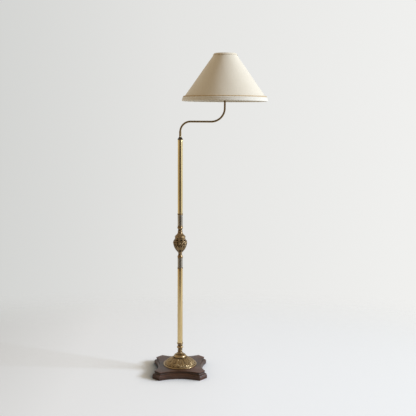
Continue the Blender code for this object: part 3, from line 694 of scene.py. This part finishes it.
def turned_relief(angle, radius, height):
    """No carving: a slightly uneven surface, worn on its bulges and dark in its grooves."""
    ordered = radius[0]
    reach = 3
    padded = np.pad(ordered, reach, mode="edge")
    window = np.stack([padded[i : i + len(ordered)] for i in range(2 * reach + 1)])
    bulge = (ordered - window.mean(axis=0)) / 0.5
    worn = np.clip(0.52 + bulge, 0.05, 1) + 0 * angle
    wobble = 0.05 * np.sin(5 * angle + height * 0.4) + 0 * radius
    return wobble, worn


def gadroon_relief(count, low, high, depth):
    """Close upright ridges between two heights."""

    def relief(angle, radius, height):
        ridge = np.abs(np.cos(angle * count / 2)) ** 0.7
        fade = np.clip((height - low) * 2, 0, 1) * np.clip((high - height) * 2, 0, 1)
        return depth * (ridge - 1) * fade, np.where(fade > 0.5, 0.15 + 0.8 * ridge, 0.7)

    return relief


# ---- Base ----
def base_outline(inset, steps=44):
    """The base's plan in millimetres: four sides that curve in between four clipped corners."""
    low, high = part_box("wood_base")
    half = (high[0] - low[0]) / 2 / MM
    depth_ratio = (high[1] - low[1]) / (high[0] - low[0])
    corner_cut, sag = 34, 22
    corner = half - inset - (corner_cut - inset * (2 - math.sqrt(2)))
    radius = (corner**2 + sag**2) / (2 * sag)
    spread = math.asin(corner / radius)
    middle = -(half - inset) - radius + sag
    points = []
    for quarter in range(4):
        turn = quarter * math.pi / 2
        for i in range(steps + 1):
            lean = -spread + 2 * spread * i / steps
            x, y = radius * math.sin(lean), middle + radius * math.cos(lean)
            turned_x = x * math.cos(turn) - y * math.sin(turn)
            turned_y = x * math.sin(turn) + y * math.cos(turn)
            points.append((turned_x, turned_y * depth_ratio))
    return points


def edge_wear(height):
    """How far the base's edges at a height are rubbed red, from 0 to 1."""
    worn_at = {0.6: 1.0, 2.2: 0.9, 13.0: 0.5, 20.8: 0.25, 32.4: 0.6, 34.4: 0.3}
    nearest = min(worn_at, key=lambda edge: abs(height - edge))
    return max(0, 1 - abs(height - nearest) / 1.6) * worn_at[nearest]


def build_base(paints):
    """The moulded base: a rim round the felt, a plinth, an ovolo, a cove and a rounded lip under the top.

    Its relief value is how far it is rubbed, or below 0 how much painted shade darkens the cove.
    """
    rim = [(3.7, 1.9), (3.7, 0), *curve((1.2, 0), (0.3, 0.3), (0, 1.2))]
    ovolo = curve((0, 12.9), (0.9, 14.4), (1.8, 17.8), (4.2, 20.8), (7.4, 22.4), (9.8, 22.8))
    cove = curve((10.4, 23.4), (11.4, 26.2), (11.2, 28.8), (9.7, 30.9))
    lip = curve((9.4, 31.3), (9.1, 32.4), (9.6, 33.7), (10.8, 34.4), (12.6, 34.6))
    profile = [*rim, *straight((0, 1.4), (0, 12.6), 4), *ovolo, *cove, *lip]
    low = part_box("wood_base")[0][2] / MM
    verts = []
    rubbing_and_cove_shade = []
    for inset, height in profile:
        amount = edge_wear(height)
        # painted shade: a band in the cove, under the lip, is darkened in colour as if in shadow
        painted_cove_shade = max(0, 1 - abs(height - 29.5) / 3.6)
        for x, y in base_outline(inset):
            patch = 0.5 + 0.5 * math.sin(x * 0.071 + y * 0.053 + 1.3) * math.sin(x * 0.19 - y * 0.16)
            cornered = min(1, (abs(x * y) / 9500) ** 2)
            verts.append((x * MM, y * MM, (low + height) * MM))
            rubbing_and_cove_shade.append(amount * (0.15 + 0.85 * cornered) * (0.35 + 0.65 * patch) - painted_cove_shade)
    around = len(base_outline(0))
    along = len(profile)
    faces = []
    for j in range(along - 1):
        for i in range(around):
            k = (i + 1) % around
            faces.append((j * around + i, j * around + k, (j + 1) * around + k, (j + 1) * around + i))
    faces.append(tuple(range(around)))
    faces.append(tuple((along - 1) * around + i for i in range(around)))
    base = mesh_piece("wood_base_fine", verts, faces, paints["mahogany"], relief=rubbing_and_cove_shade, sharp=32)
    cut_cylinder(base, "cavity", (0, 0, 4 * MM), 20 * MM, 80 * MM, 0)
    low_box, high_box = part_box("cord_bushing")
    middle = [(a + b) / 2 for a, b in zip(low_box, high_box)]
    cut_cylinder(base, "cord_hole", (0, middle[1], middle[2]), 30 * MM, 5 * MM, math.pi / 2)
    bevel = base.modifiers.new("arrises", "BEVEL")
    bevel.width = 0.6 * MM
    bevel.segments = 2
    bevel.limit_method = "ANGLE"
    bevel.angle_limit = math.radians(32)
    stand_for(base, "wood_base")


def cut_cylinder(piece, name, centre, half_length, radius, tilt):
    """Cuts a round hole in a piece, and keeps the result in its mesh."""
    bm = bmesh.new()
    size = {"radius1": radius, "radius2": radius, "depth": 2 * half_length}
    bmesh.ops.create_cone(bm, cap_ends=True, segments=64, **size)
    mesh = bpy.data.meshes.new(name)
    bm.to_mesh(mesh)
    bm.free()
    cutter = add_object(name, mesh)
    cutter.location = centre
    cutter.rotation_euler = (tilt, 0, 0)
    modifier = piece.modifiers.new(name, "BOOLEAN")
    modifier.object = cutter
    modifier.solver = "EXACT"
    bpy.context.view_layer.update()
    evaluated = piece.evaluated_get(bpy.context.evaluated_depsgraph_get())
    piece.data = bpy.data.meshes.new_from_object(evaluated)
    piece.modifiers.clear()
    bpy.data.objects.remove(cutter)


def build_foot(paints):
    """The cast foot, from the embossed flange up to the cup that holds the lower tube."""
    cast = paints["cast_brass"]
    rim = curve((79.2, 0), (79.5, 1.4), (78.9, 2.9), (77.2, 3.7), (75.6, 3.2))
    swell = curve((74.8, 3.6), (66, 13.1), (52, 22.7), (40, 30.3), (33.2, 34.0), steps=26)
    collar = curve((32.6, 34.6), (31.8, 35.4), (30.6, 35.0))
    under = [(ROD_BORE, 35.0), (ROD_BORE, 31.5), (30, 31.5), (51, 19.2), (73.5, 2.2), (74.5, 0)]
    lathe("foot_flange", [*rim, *swell, *collar, *under], cast, 600, flange_relief, fillet=0.2)

    ball = curve((28.6, 0), (30.0, 2.6), (29.9, 5.6), (28.2, 8.9), (25, 11.6), (21, 13.7), (18.9, 14.6))
    lathe("foot_dome", bored([*ball, (17.5, 15)], 15), cast, relief=turned_relief)

    step = curve((17.6, 0), (18.5, 0.7), (18.3, 1.6), (16.4, 2.2))
    neck = curve((14.6, 2.8), (12.2, 5.6), (10.7, 9.4), (10.2, 12.4), (10.8, 14.2))
    bead = curve((11.2, 14.6), (12.0, 16), (12.1, 17.2), (11.6, 18.8), (10.6, 19.8))
    throat = curve((9.9, 20.6), (9.7, 22.8), (9.9, 25.2), (10.6, 26.4))
    ring = curve((12.2, 27.2), (13.8, 29.4), (14.5, 33), (13.9, 36.4), (12.2, 38.2))
    top = curve((10.4, 38.8), (10.1, 40), (10.6, 42), (12.0, 44.4))
    outline = bored([*step, *neck, *bead, *throat, *ring, *top], 44.8)
    lathe("foot_column", outline, cast, relief=turned_relief)

    cup = curve((11.6, 0), (13.2, 1.6), (14.2, 4.2), (14.2, 6.6), (13.7, 8.2), (13.9, 9.0), (13.4, 9.6))
    lathe("foot_cup", bored([*cup, (12.7, 9.6), (12.7, 2.5)], 2.5), cast, relief=turned_relief)


def build_column(paints):
    tube("lower_tube", 1.2, paints["dull_brass"])
    tube("upper_tube", 1.2, paints["brass"])
    for node in ("lower_sleeve", "upper_sleeve"):
        build_sleeve(node, paints["silvered"])
    for node in ("lower_ring", "upper_ring"):
        lip = curve((12.2, 0), (12.9, 0.9), (12.8, 1.8), (12.5, 2.2))
        bead = curve((12.5, 2.3), (13.1, 3.2), (12.6, 4.2))
        crown = curve((12.5, 4.4), (12.8, 5.2), (12.2, 6.1))
        lathe(node, bored([*lip, *bead, *crown], 6.1), paints["urn_brass"], relief=turned_relief)


def build_sleeve(node, silver):
    """A silvered sleeve with a fine turned line near each end."""
    outer, top = half_width(node), height_of(node)
    line = 0.25
    edge = [(outer, 0.2), (outer, 2.2), (outer - line, 2.5), (outer, 2.8)]
    far = [(outer, top - 2.8), (outer - line, top - 2.5), (outer, top - 2.2), (outer, top - 0.2)]
    middle = straight((outer, 4), (outer, top - 4), 12)
    bore = outer - 1.2
    lathe(node, [(bore, 0), (outer - 0.2, 0), *edge, *middle, *far, (outer - 0.2, top), (bore, top)], silver)


def build_urn(paints):
    """The urn knop: foot ring and waist, leaf-carved body, lid with petals, and the neck over it."""
    cast = paints["urn_brass"]
    ring = curve((11.7, 0), (12.5, 2), (12.8, 5.4), (12.3, 9.2), (11.3, 11.2))
    waist = curve((10.6, 12.2), (9.3, 15.6), (8.9, 19.4), (9.3, 22.8), (9.9, 25.4))
    lathe("urn_foot", bored([*ring, *waist, (9.6, 26)], 26), cast, relief=turned_relief)

    cup = [(10.2, 0), (13.4, 4.2), (17, 8.9), (20.8, 13.7), (24, 18.5), (28.3, 28), (30.6, 36.4)]
    belly = curve(*cup, steps=14)
    line = curve((31.6, 37.2), (32.2, 38), (31.7, 38.9))
    band = curve((31.6, 39.4), (32.4, 44), (32.5, 49), (31.7, 53.6), steps=12)
    lip = curve((32.0, 54.4), (32.5, 55.4), (31.8, 56.6), (30.2, 57.4), (29.4, 58.3))
    hollow = [(27.6, 58.3), (29.4, 47), (28.0, 36), (24.0, 25), (18.2, 15), (12, 8.5)]
    lathe("urn_body", bored([*belly, *line, *band, *lip, *hollow], 6.5), cast, 360, urn_body_relief)

    skirt = curve((26.6, 0), (26.9, 2.4), (24.6, 5.2), (22.9, 8.0), (23.6, 11.2), steps=10)
    rim = curve((24.4, 12.6), (25.6, 14.6), (25.8, 16.2), (25.0, 17.6), (24.2, 18.0))
    cap = curve((23.6, 18.6), (21.6, 22.2), (17.2, 26.4), (14.0, 30.6), (12.9, 32.4), steps=9)
    under = [(12.2, 33.7), (ROD_BORE, 33.7), (ROD_BORE, 23.4), (14, 17.4), (18, 9.4), (18, 0)]
    lathe("urn_lid", [*skirt, *rim, *cap, *under], cast, 288, urn_lid_relief)

    collar = curve((12.0, 0), (11.2, 3.4), (10.6, 5.6), (11.4, 8.4), (11.3, 10.4), (9.9, 13.4), (9.6, 17.0))
    knop = curve((10.2, 19.4), (12.4, 22.0), (13.5, 25.4), (12.8, 28.6), (11.8, 30.4))
    seat = curve((11.4, 31.4), (11.9, 33.2), (12.0, 35.4))
    lathe("urn_neck", bored([*collar, *knop, *seat, (11.6, 36.1)], 36.1), cast, relief=turned_relief)


def build_column_top(paints):
    """The bush's brass lip and the dark knurled collar that locks the stem."""
    lip = [(10.3, 0), (10.3, 24.8), (11.7, 24.8), (11.7, 26.2), (8, 26.2), (8, 31.5), (5.7, 31.5), (5.7, 0)]
    lathe("top_bush", lip, paints["brass"])
    skirt = [(11.9, 0), (12.3, 0.4), (12.3, 2.3), (11.8, 2.9)]
    cone = curve((11.6, 3.1), (10.0, 5.2), (8.2, 8.0), (6.7, 10.8), (6.2, 12.0))
    inside = [(5.8, 12), (5.8, 8.5), (7.8, 8.5), (7.8, 5.4), (8.4, 5.4), (8.4, 0)]
    knurl = gadroon_relief(60, 0.3, 2.8, 0.35)
    lathe("lock_collar", [*skirt, *cone, *inside], paints["dark_bronze"], 360, knurl, fillet=0.2)


# ---- Stem and arm ----
def arm_path(bottom, top):
    """The arm's centreline: up, over to the level stretch, and up again to the lampholder."""
    low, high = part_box("arm_tube")
    reach = high[0] + low[0]
    lower = (ARM_LOWER_BEND, ARM_LEVEL - ARM_LOWER_BEND)
    upper = (reach - ARM_UPPER_BEND, ARM_LEVEL + ARM_UPPER_BEND)
    rise = straight((0, bottom), (0, lower[1]), 4)[:-1]
    steps = range(ARM_BEND_STEPS + 1)
    first = [turned_point(lower, ARM_LOWER_BEND, 180 - 90 * i / ARM_BEND_STEPS) for i in steps]
    level = straight((lower[0], ARM_LEVEL), (upper[0], ARM_LEVEL), 8)[1:-1]
    second = [turned_point(upper, ARM_UPPER_BEND, -90 + 90 * i / ARM_BEND_STEPS) for i in steps]
    end = straight((reach, upper[1]), (reach, top), 4)[1:]
    return [(x, 0, z) for x, z in [*rise, *first, *level, *second, *end]]


def turned_point(centre, radius, degrees):
    """A point on a circle."""
    angle = math.radians(degrees)
    return centre[0] + radius * math.cos(angle), centre[1] + radius * math.sin(angle)


def build_arm(paints):
    low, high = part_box("arm_tube")
    radius = -low[0]
    swept("arm_tube", arm_path(low[2], high[2]), lambda angle, distance: radius, paints["arm_brass"])
    sleeve = curve((5.4, 0), (5.9, 0.9), (5.7, 2.0), (5.4, 2.6))
    top = [(5.4, 19.6), *curve((5.4, 19.8), (5.7, 20.4), (5.3, 21.3), (4.9, 21.7))]
    bore = [(4.7, 21.7), (4.7, 12.3), (4.2, 12.3), (4.2, 0)]
    lathe("swivel_sleeve", [*sleeve, *top, *bore], paints["arm_brass"])
    tube("stem_tube", 1.0, paints["brass"], 64)


# ---- Lampholder ----
def build_holder(paints):
    brass, brown = paints["brass"], paints["phenolic"]
    outer = curve((7.6, 0), (10, 0.9), (13.4, 3.0), (17.4, 7.4), (19.0, 12.2), (19.2, 17))
    bead = curve((19.2, 20.6), (19.9, 21.6), (19.9, 22.6), (19.3, 23.6))
    inner = [(18.1, 24), (17.9, 12.8), (16.2, 8.7), (12.3, 4.5), (7.2, 2.2), (4.8, 2.2), (4.8, 0)]
    lathe("holder_cap", [*outer, *bead, *inner], brass)

    rows = [(19.5, 0.3), (19.5, 12)]
    for groove in range(3):
        start = 28 + groove * 2.6
        rows += [(19.5, start), (19.1, start + 0.5), (19.5, start + 1.0)]
    lathe("holder_shell", [*rows, (19.4, 36.9), (18.3, 36.9), (18.3, 0), (19.2, 0)], brass)

    ring = gadroon_relief(40, 0.6, 4.2, 0.7)
    for node in ("shade_ring_lower", "shade_ring_upper"):
        top = height_of(node)
        wall = straight((26, 1.0), (26, top - 1.0), 4)
        rows = [(20, 0), (25.2, 0), (26, 0.8), *wall, (25.2, top), (20, top)]
        lathe(node, rows, brown, 240, ring, fillet=0.3)


def build_switch(paints):
    """The switch knob: a fluted grip with a domed end, lying on its side towards the front."""
    low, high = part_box("switch_knob")
    centre_x, centre_z = (low[0] + high[0]) / 2, (low[2] + high[2]) / 2
    end = curve((0, 14), (3, 13.8), (5.4, 13.2), (6.2, 12.2))
    grip = [(6.5, 10.5), (6.5, 2.5), (5.0, 0)]
    profile = soften([*end, *grip, (2.4, 0), (2.4, 9.3), (0, 9.3)], 0.3, False)
    sides = 144
    flute_depth = 0.5
    verts = []
    for i in range(sides):
        angle = TURN * i / sides
        ridge = flute_depth * abs(math.cos(angle * 9)) ** 0.6
        for radius, height in profile:
            spread = (radius - flute_depth + ridge if radius > 6 else radius) * MM
            x, z = centre_x + spread * math.cos(angle), centre_z + spread * math.sin(angle)
            verts.append((x, high[1] - height * MM, z))
    faces = grid_faces(sides, len(profile), False)
    piece = mesh_piece("switch_knob_fine", verts, faces, paints["phenolic"])
    stand_for(piece, "switch_knob")


def build_bulb(paints):
    """The bulb's threaded cap and its pear-shaped opal glass, which has a wall inside."""

    def thread(angle, radius, height):
        turn = np.cos(TURN * (height / 3.6) - angle)
        fade = np.clip((height - 8) / 2, 0, 1) * np.clip((22 - height) / 2, 0, 1)
        return 0.45 * (turn - 1) * fade, 0.5 + 0.3 * turn * fade

    contact = curve((0, 0), (3.4, 0.3), (5, 1.6), (8, 2.8), (11.6, 4.4), (12.9, 6))
    sleeve = [*straight((13.1, 6.8), (13.1, 23), 40), (12.4, 25.1), (0, 25.1)]
    lathe("bulb_cap", [*contact, *sleeve], paints["nickel"], 64, thread, closed=False)

    low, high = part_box("bulb_glass")
    top = (high[2] - low[2]) / MM
    neck = [(12.4, 0.2), (12.9, 4.3), (15.6, 14.3), (21.4, 27.3), (27.0, 40), (29.7, 52)]
    crown = [turned_point((0, top - 30), 29.8, degrees) for degrees in range(4, 91, 6)]
    outside = [*curve(*neck, steps=8), *crown[:-1], (0, top)]
    inside = [(max(radius - 1, 0), height - (1 if radius < 15 else 0.4)) for radius, height in outside[::-1]]
    inside[0] = (0, top - 1)
    lathe("bulb_glass", [*outside, *inside], paints["glass"], closed=False)


# ---- Shade ----
def wander(angle, height, size):
    """A small smooth unevenness over a cone."""
    waves = np.sin(3 * angle + 0.02 * height + 0.6) + 0.6 * np.sin(7 * angle - 0.035 * height + 2.1)
    return size * (waves + 0.4 * np.sin(13 * angle + 0.05 * height + 4.0)) / 2


def cone_lathe(node, material, relief, sides=SHADE_SIDES):
    """A conical wall in a CAD node's place, from the node's own widths and heights."""
    mesh = frame["nodes"][node].data
    x, y, z = axis_of(node)
    reach = [(math.hypot(v.co.x - x, v.co.y - y) / MM, (v.co.z - z) / MM) for v in mesh.vertices]
    top = height_of(node)
    low = [r for r, h in reach if h < 0.1]
    high = [r for r, h in reach if h > top - 0.1]
    outer = straight((max(low), 0), (max(high), top), 60)
    inner = straight((min(high), top), (min(low), 0), 20)
    return lathe(node, [*outer, *inner], material, sides, relief, fillet=0.2, sharp=50)


def build_shade(paints):
    """The cover with its seam at the back, the lining, and the shade's bands and cord."""

    def cover(angle, radius, height):
        seam = np.abs((angle - math.pi / 2) * radius) < 5
        return wander(angle, height, 0.3) + 0.45 * seam, np.full_like(radius, 0.5)

    def lining(angle, radius, height):
        return wander(angle, height, 0.2), np.full_like(radius, 0.5)

    # The cover is cut flat as a sector of a ring.
    fabric = cone_lathe("shade_fabric", paints["fabric"], cover)
    cone_lathe("shade_liner", paints["liner"], lining)
    band = build_band(paints)
    trim = build_trim(paints)
    build_piping(paints)


def build_band(paints):
    """The padded edge: two soft rolls, lightly gathered, one above the other."""

    def gathers(angle, radius, height):
        fine = np.sin(angle * 71 + 2.2 * np.sin(angle * 11))
        coarse = np.sin(angle * 47 + 3 * np.sin(angle * 7))
        fold = fine + 0.6 * coarse
        at_join, at_top = [np.exp(-(((height - seam) / 2.4) ** 2)) for seam in (10.6, 20)]
        creased = at_join + at_top + 0.2
        return 0.035 * fold * creased + wander(angle, height, 0.3), np.full_like(radius, 0.5)

    lower = curve((193.9, 0.5), (195.3, 0.0), (196.6, 1.6), (197.1, 4.6), (196.4, 8.0), (194.9, 10.3))
    upper = curve((194.9, 10.9), (195.3, 12.4), (194.4, 15.4), (191.8, 18.4), (189.0, 20.0))
    back = [(187.3, 19.8), (193.3, 11.2), (193.6, 9), (193.6, 2)]
    outline = [*lower, *upper, *back]
    return lathe("shade_band", outline, paints["padding"], 900, gathers, fillet=0.3, sharp=60)


def build_trim(paints):
    """The bound top edge, rolled over the cover."""
    outside = [(55.4, 0.2), (56.4, 0.4), (56.4, 1.6), (54.2, 4.2), (51.8, 7.0)]
    lip = [(50.6, 8.5), (49.6, 8.4), (49.0, 7.6)]
    outline = [*curve(*outside, *lip), (49.2, 7.4), (54.2, 0.2)]

    def gathers(angle, radius, height):
        return 0.1 * np.sin(angle * 61 + 2 * np.sin(angle * 5)) + 0 * radius, np.full_like(radius, 0.5)

    return lathe("shade_top_trim", outline, paints["binding"], 300, gathers, fillet=0.2)


def build_piping(paints):
    """A two-ply twisted cord laid round the top of the padded band."""
    low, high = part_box("shade_piping")
    x, y, _ = axis_of("shade_piping")
    cad_thick = (high[2] - low[2]) / 2
    fullness = 1.6  # against the CAD node's thickness
    thick = fullness * cad_thick
    radius = (high[0] - low[0]) / 2 - cad_thick + 0.9 * (thick - cad_thick)
    drop = 1.6 * MM
    middle = (low[2] + high[2]) / 2 - drop
    count = 1500
    turns = [TURN * i / count for i in range(count)]
    path = [(x + radius * math.cos(turn), y + radius * math.sin(turn), middle) for turn in turns]
    twists = 190
    length = TURN * radius

    def ply(angle, distance):
        return thick * (0.93 + 0.15 * math.cos(2 * angle - TURN * twists * distance / length))

    swept("shade_piping", path, ply, paints["braid"], closed=True, sharp=80)


# ---- Studio ----
def build_floor():
    """A pale floor that fades into the backdrop away from the lamp, with painted light across it and a
    painted shadow beside the lamp.
    """
    bm = bmesh.new()
    bmesh.ops.create_circle(bm, cap_ends=True, segments=96, radius=FLOOR_RADIUS)
    mesh = bpy.data.meshes.new("floor")
    bm.to_mesh(mesh)
    bm.free()
    floor = add_object("floor", mesh)
    paint = Paint("pale_floor", Roughness=0.9, Specular_IOR_Level=0.1)
    plain = paint.place()
    cloud = paint.noise(plain, 0.8, 2)
    sideways = paint.node("SeparateXYZ", {0: plain})
    # painted light: colour graded across the floor from left to right, standing in for how brightly it is lit
    colour = paint.mix(paint.range(sideways, -1.2, -0.5), FLOOR_LEFT, FLOOR_NEAR)
    colour = paint.mix(paint.range(sideways, 0.3, 1.4), colour, FLOOR_RIGHT)
    grey = (0.7, 0.7, 0.7)
    colour = paint.mix(paint.range(cloud, 0.3, 0.7, 0, 0.03), colour, grey)
    # painted shadow: ambient occlusion, leant towards the key, darkens the floor's colour next to the lamp on
    # the side away from the key
    upright = paint.node("TexCoord", {}, "Normal")
    leaning = paint.node("VectorMath", {0: upright, 1: CONTACT_LEAN}, operation="ADD")
    towards_key = paint.node("VectorMath", {0: leaning}, operation="NORMALIZE")
    open_sky = paint.node("AmbientOcclusion", {"Distance": CONTACT, "Normal": towards_key}, 1, samples=12)
    paint.set("Base Color", paint.mix(paint.range(open_sky, 0.35, 0.95), PAINTED_SHADOW_COLOUR, colour))
    distance = paint.node("VectorMath", {0: plain}, 1, operation="LENGTH")
    floor.location = FLOOR_MIDDLE
    floor.scale = (1, FLOOR_DEPTH, 1)
    solid = paint.node(
        "MapRange",
        {"Value": distance, "From Min": FLOOR_RADIUS * FLOOR_CLEAR, "From Max": FLOOR_RADIUS * FLOOR_SOLID},
        interpolation_type="SMOOTHSTEP",
    )
    paint.set("Alpha", solid)
    floor.data.materials.append(paint.material)


def build_world():
    """A pale room, brighter to the right and dark behind the camera, and the backdrop the camera sees."""
    world = bpy.data.worlds.new("studio")
    bpy.context.scene.world = world
    world.use_nodes = True
    tree = world.node_tree
    tree.nodes.clear()

    def ramp(value, low, high, **settings):
        return add_node(tree, "MapRange", {"Value": value, "From Min": low, "From Max": high}, **settings)

    def blend(share, first, second):
        return add_node(tree, "Mix", {0: share, 6: first, 7: second}, 2, data_type="RGBA")

    def glow(colour):
        return add_node(tree, "Background", {"Color": colour, "Strength": 1.0})

    direction = add_node(tree, "TexCoord", {}, "Generated")
    x, y, z = add_node(tree, "SeparateXYZ", {0: direction}).node.outputs
    towards_dark = (math.sin(DARK_BEARING), -math.cos(DARK_BEARING), 0)
    facing = add_node(tree, "VectorMath", {0: direction, 1: towards_dark}, 1, operation="DOT_PRODUCT")
    dark = ramp(facing, DARK_EDGE, DARK_CORE, interpolation_type="SMOOTHSTEP")
    walls = blend(ramp(y, -0.1, 0.45), blend(ramp(x, -1.0, 1.0), ROOM_LEFT, ROOM_RIGHT), ROOM_BACK)
    room = blend(ramp(z, 0.35, 0.95), blend(dark, walls, ROOM_DARK), ROOM_CEILING)
    left_half = blend(ramp(x, -0.27, -0.03), BACKDROP_LEFT, BACKDROP_MIDDLE)
    backdrop = blend(ramp(x, -0.03, 0.32), left_half, BACKDROP_RIGHT)
    seen = add_node(tree, "LightPath", {}, "Is Camera Ray")
    both = add_node(tree, "MixShader", {0: seen, 1: glow(room), 2: glow(backdrop)})
    output = tree.nodes.new("ShaderNodeOutputWorld")
    tree.links.new(both, output.inputs["Surface"])


def build_key():
    """One broad soft light, high on the right."""
    data = bpy.data.lights.new("key", "AREA")
    data.shape = "RECTANGLE"
    data.size, data.size_y = KEY_SIZE
    data.energy = KEY_WATTS
    data.color = KEY_COLOUR
    light = add_object("key", data)
    light.location = (KEY_DISTANCE * math.sin(KEY_BEARING), -KEY_DISTANCE * math.cos(KEY_BEARING), KEY_HEIGHT)
    aim = Vector(KEY_TARGET) - light.location
    light.rotation_euler = aim.to_track_quat("-Z", "Y").to_euler()


def build_camera():
    data = bpy.data.cameras.new("camera")
    data.lens = CAMERA_LENS
    camera = add_object("camera", data)
    camera.location = CAMERA_PLACE
    flat = math.cos(CAMERA_PITCH)
    forward = Vector((math.sin(CAMERA_YAW) * flat, math.cos(CAMERA_YAW) * flat, -math.sin(CAMERA_PITCH)))
    level = Vector((math.cos(CAMERA_YAW), -math.sin(CAMERA_YAW), 0))
    above = level.cross(forward)
    right = level * math.cos(CAMERA_ROLL) + above * math.sin(CAMERA_ROLL)
    up = above * math.cos(CAMERA_ROLL) - level * math.sin(CAMERA_ROLL)
    camera.rotation_mode = "QUATERNION"
    rows = [(right[i], up[i], -forward[i]) for i in range(3)]
    camera.rotation_quaternion = Matrix(rows).to_quaternion()
    bpy.context.scene.camera = camera


def paint_cad_nodes(paints):
    """Gives every CAD node the material of its slot."""
    for name, node in frame["nodes"].items():
        node.data.materials.clear()
        node.data.materials.append(paints[slot_of_node(name)])


def main():
    bpy.context.scene.view_settings.view_transform = "Standard"
    build_camera()
    build_world()
    build_key()
    build_floor()
    paints = make_paints()
    paint_cad_nodes(paints)
    builders = (build_base, build_foot, build_column, build_urn, build_column_top)
    builders += (build_arm, build_holder, build_switch, build_bulb, build_shade)
    for build in builders:
        build(paints)


main()
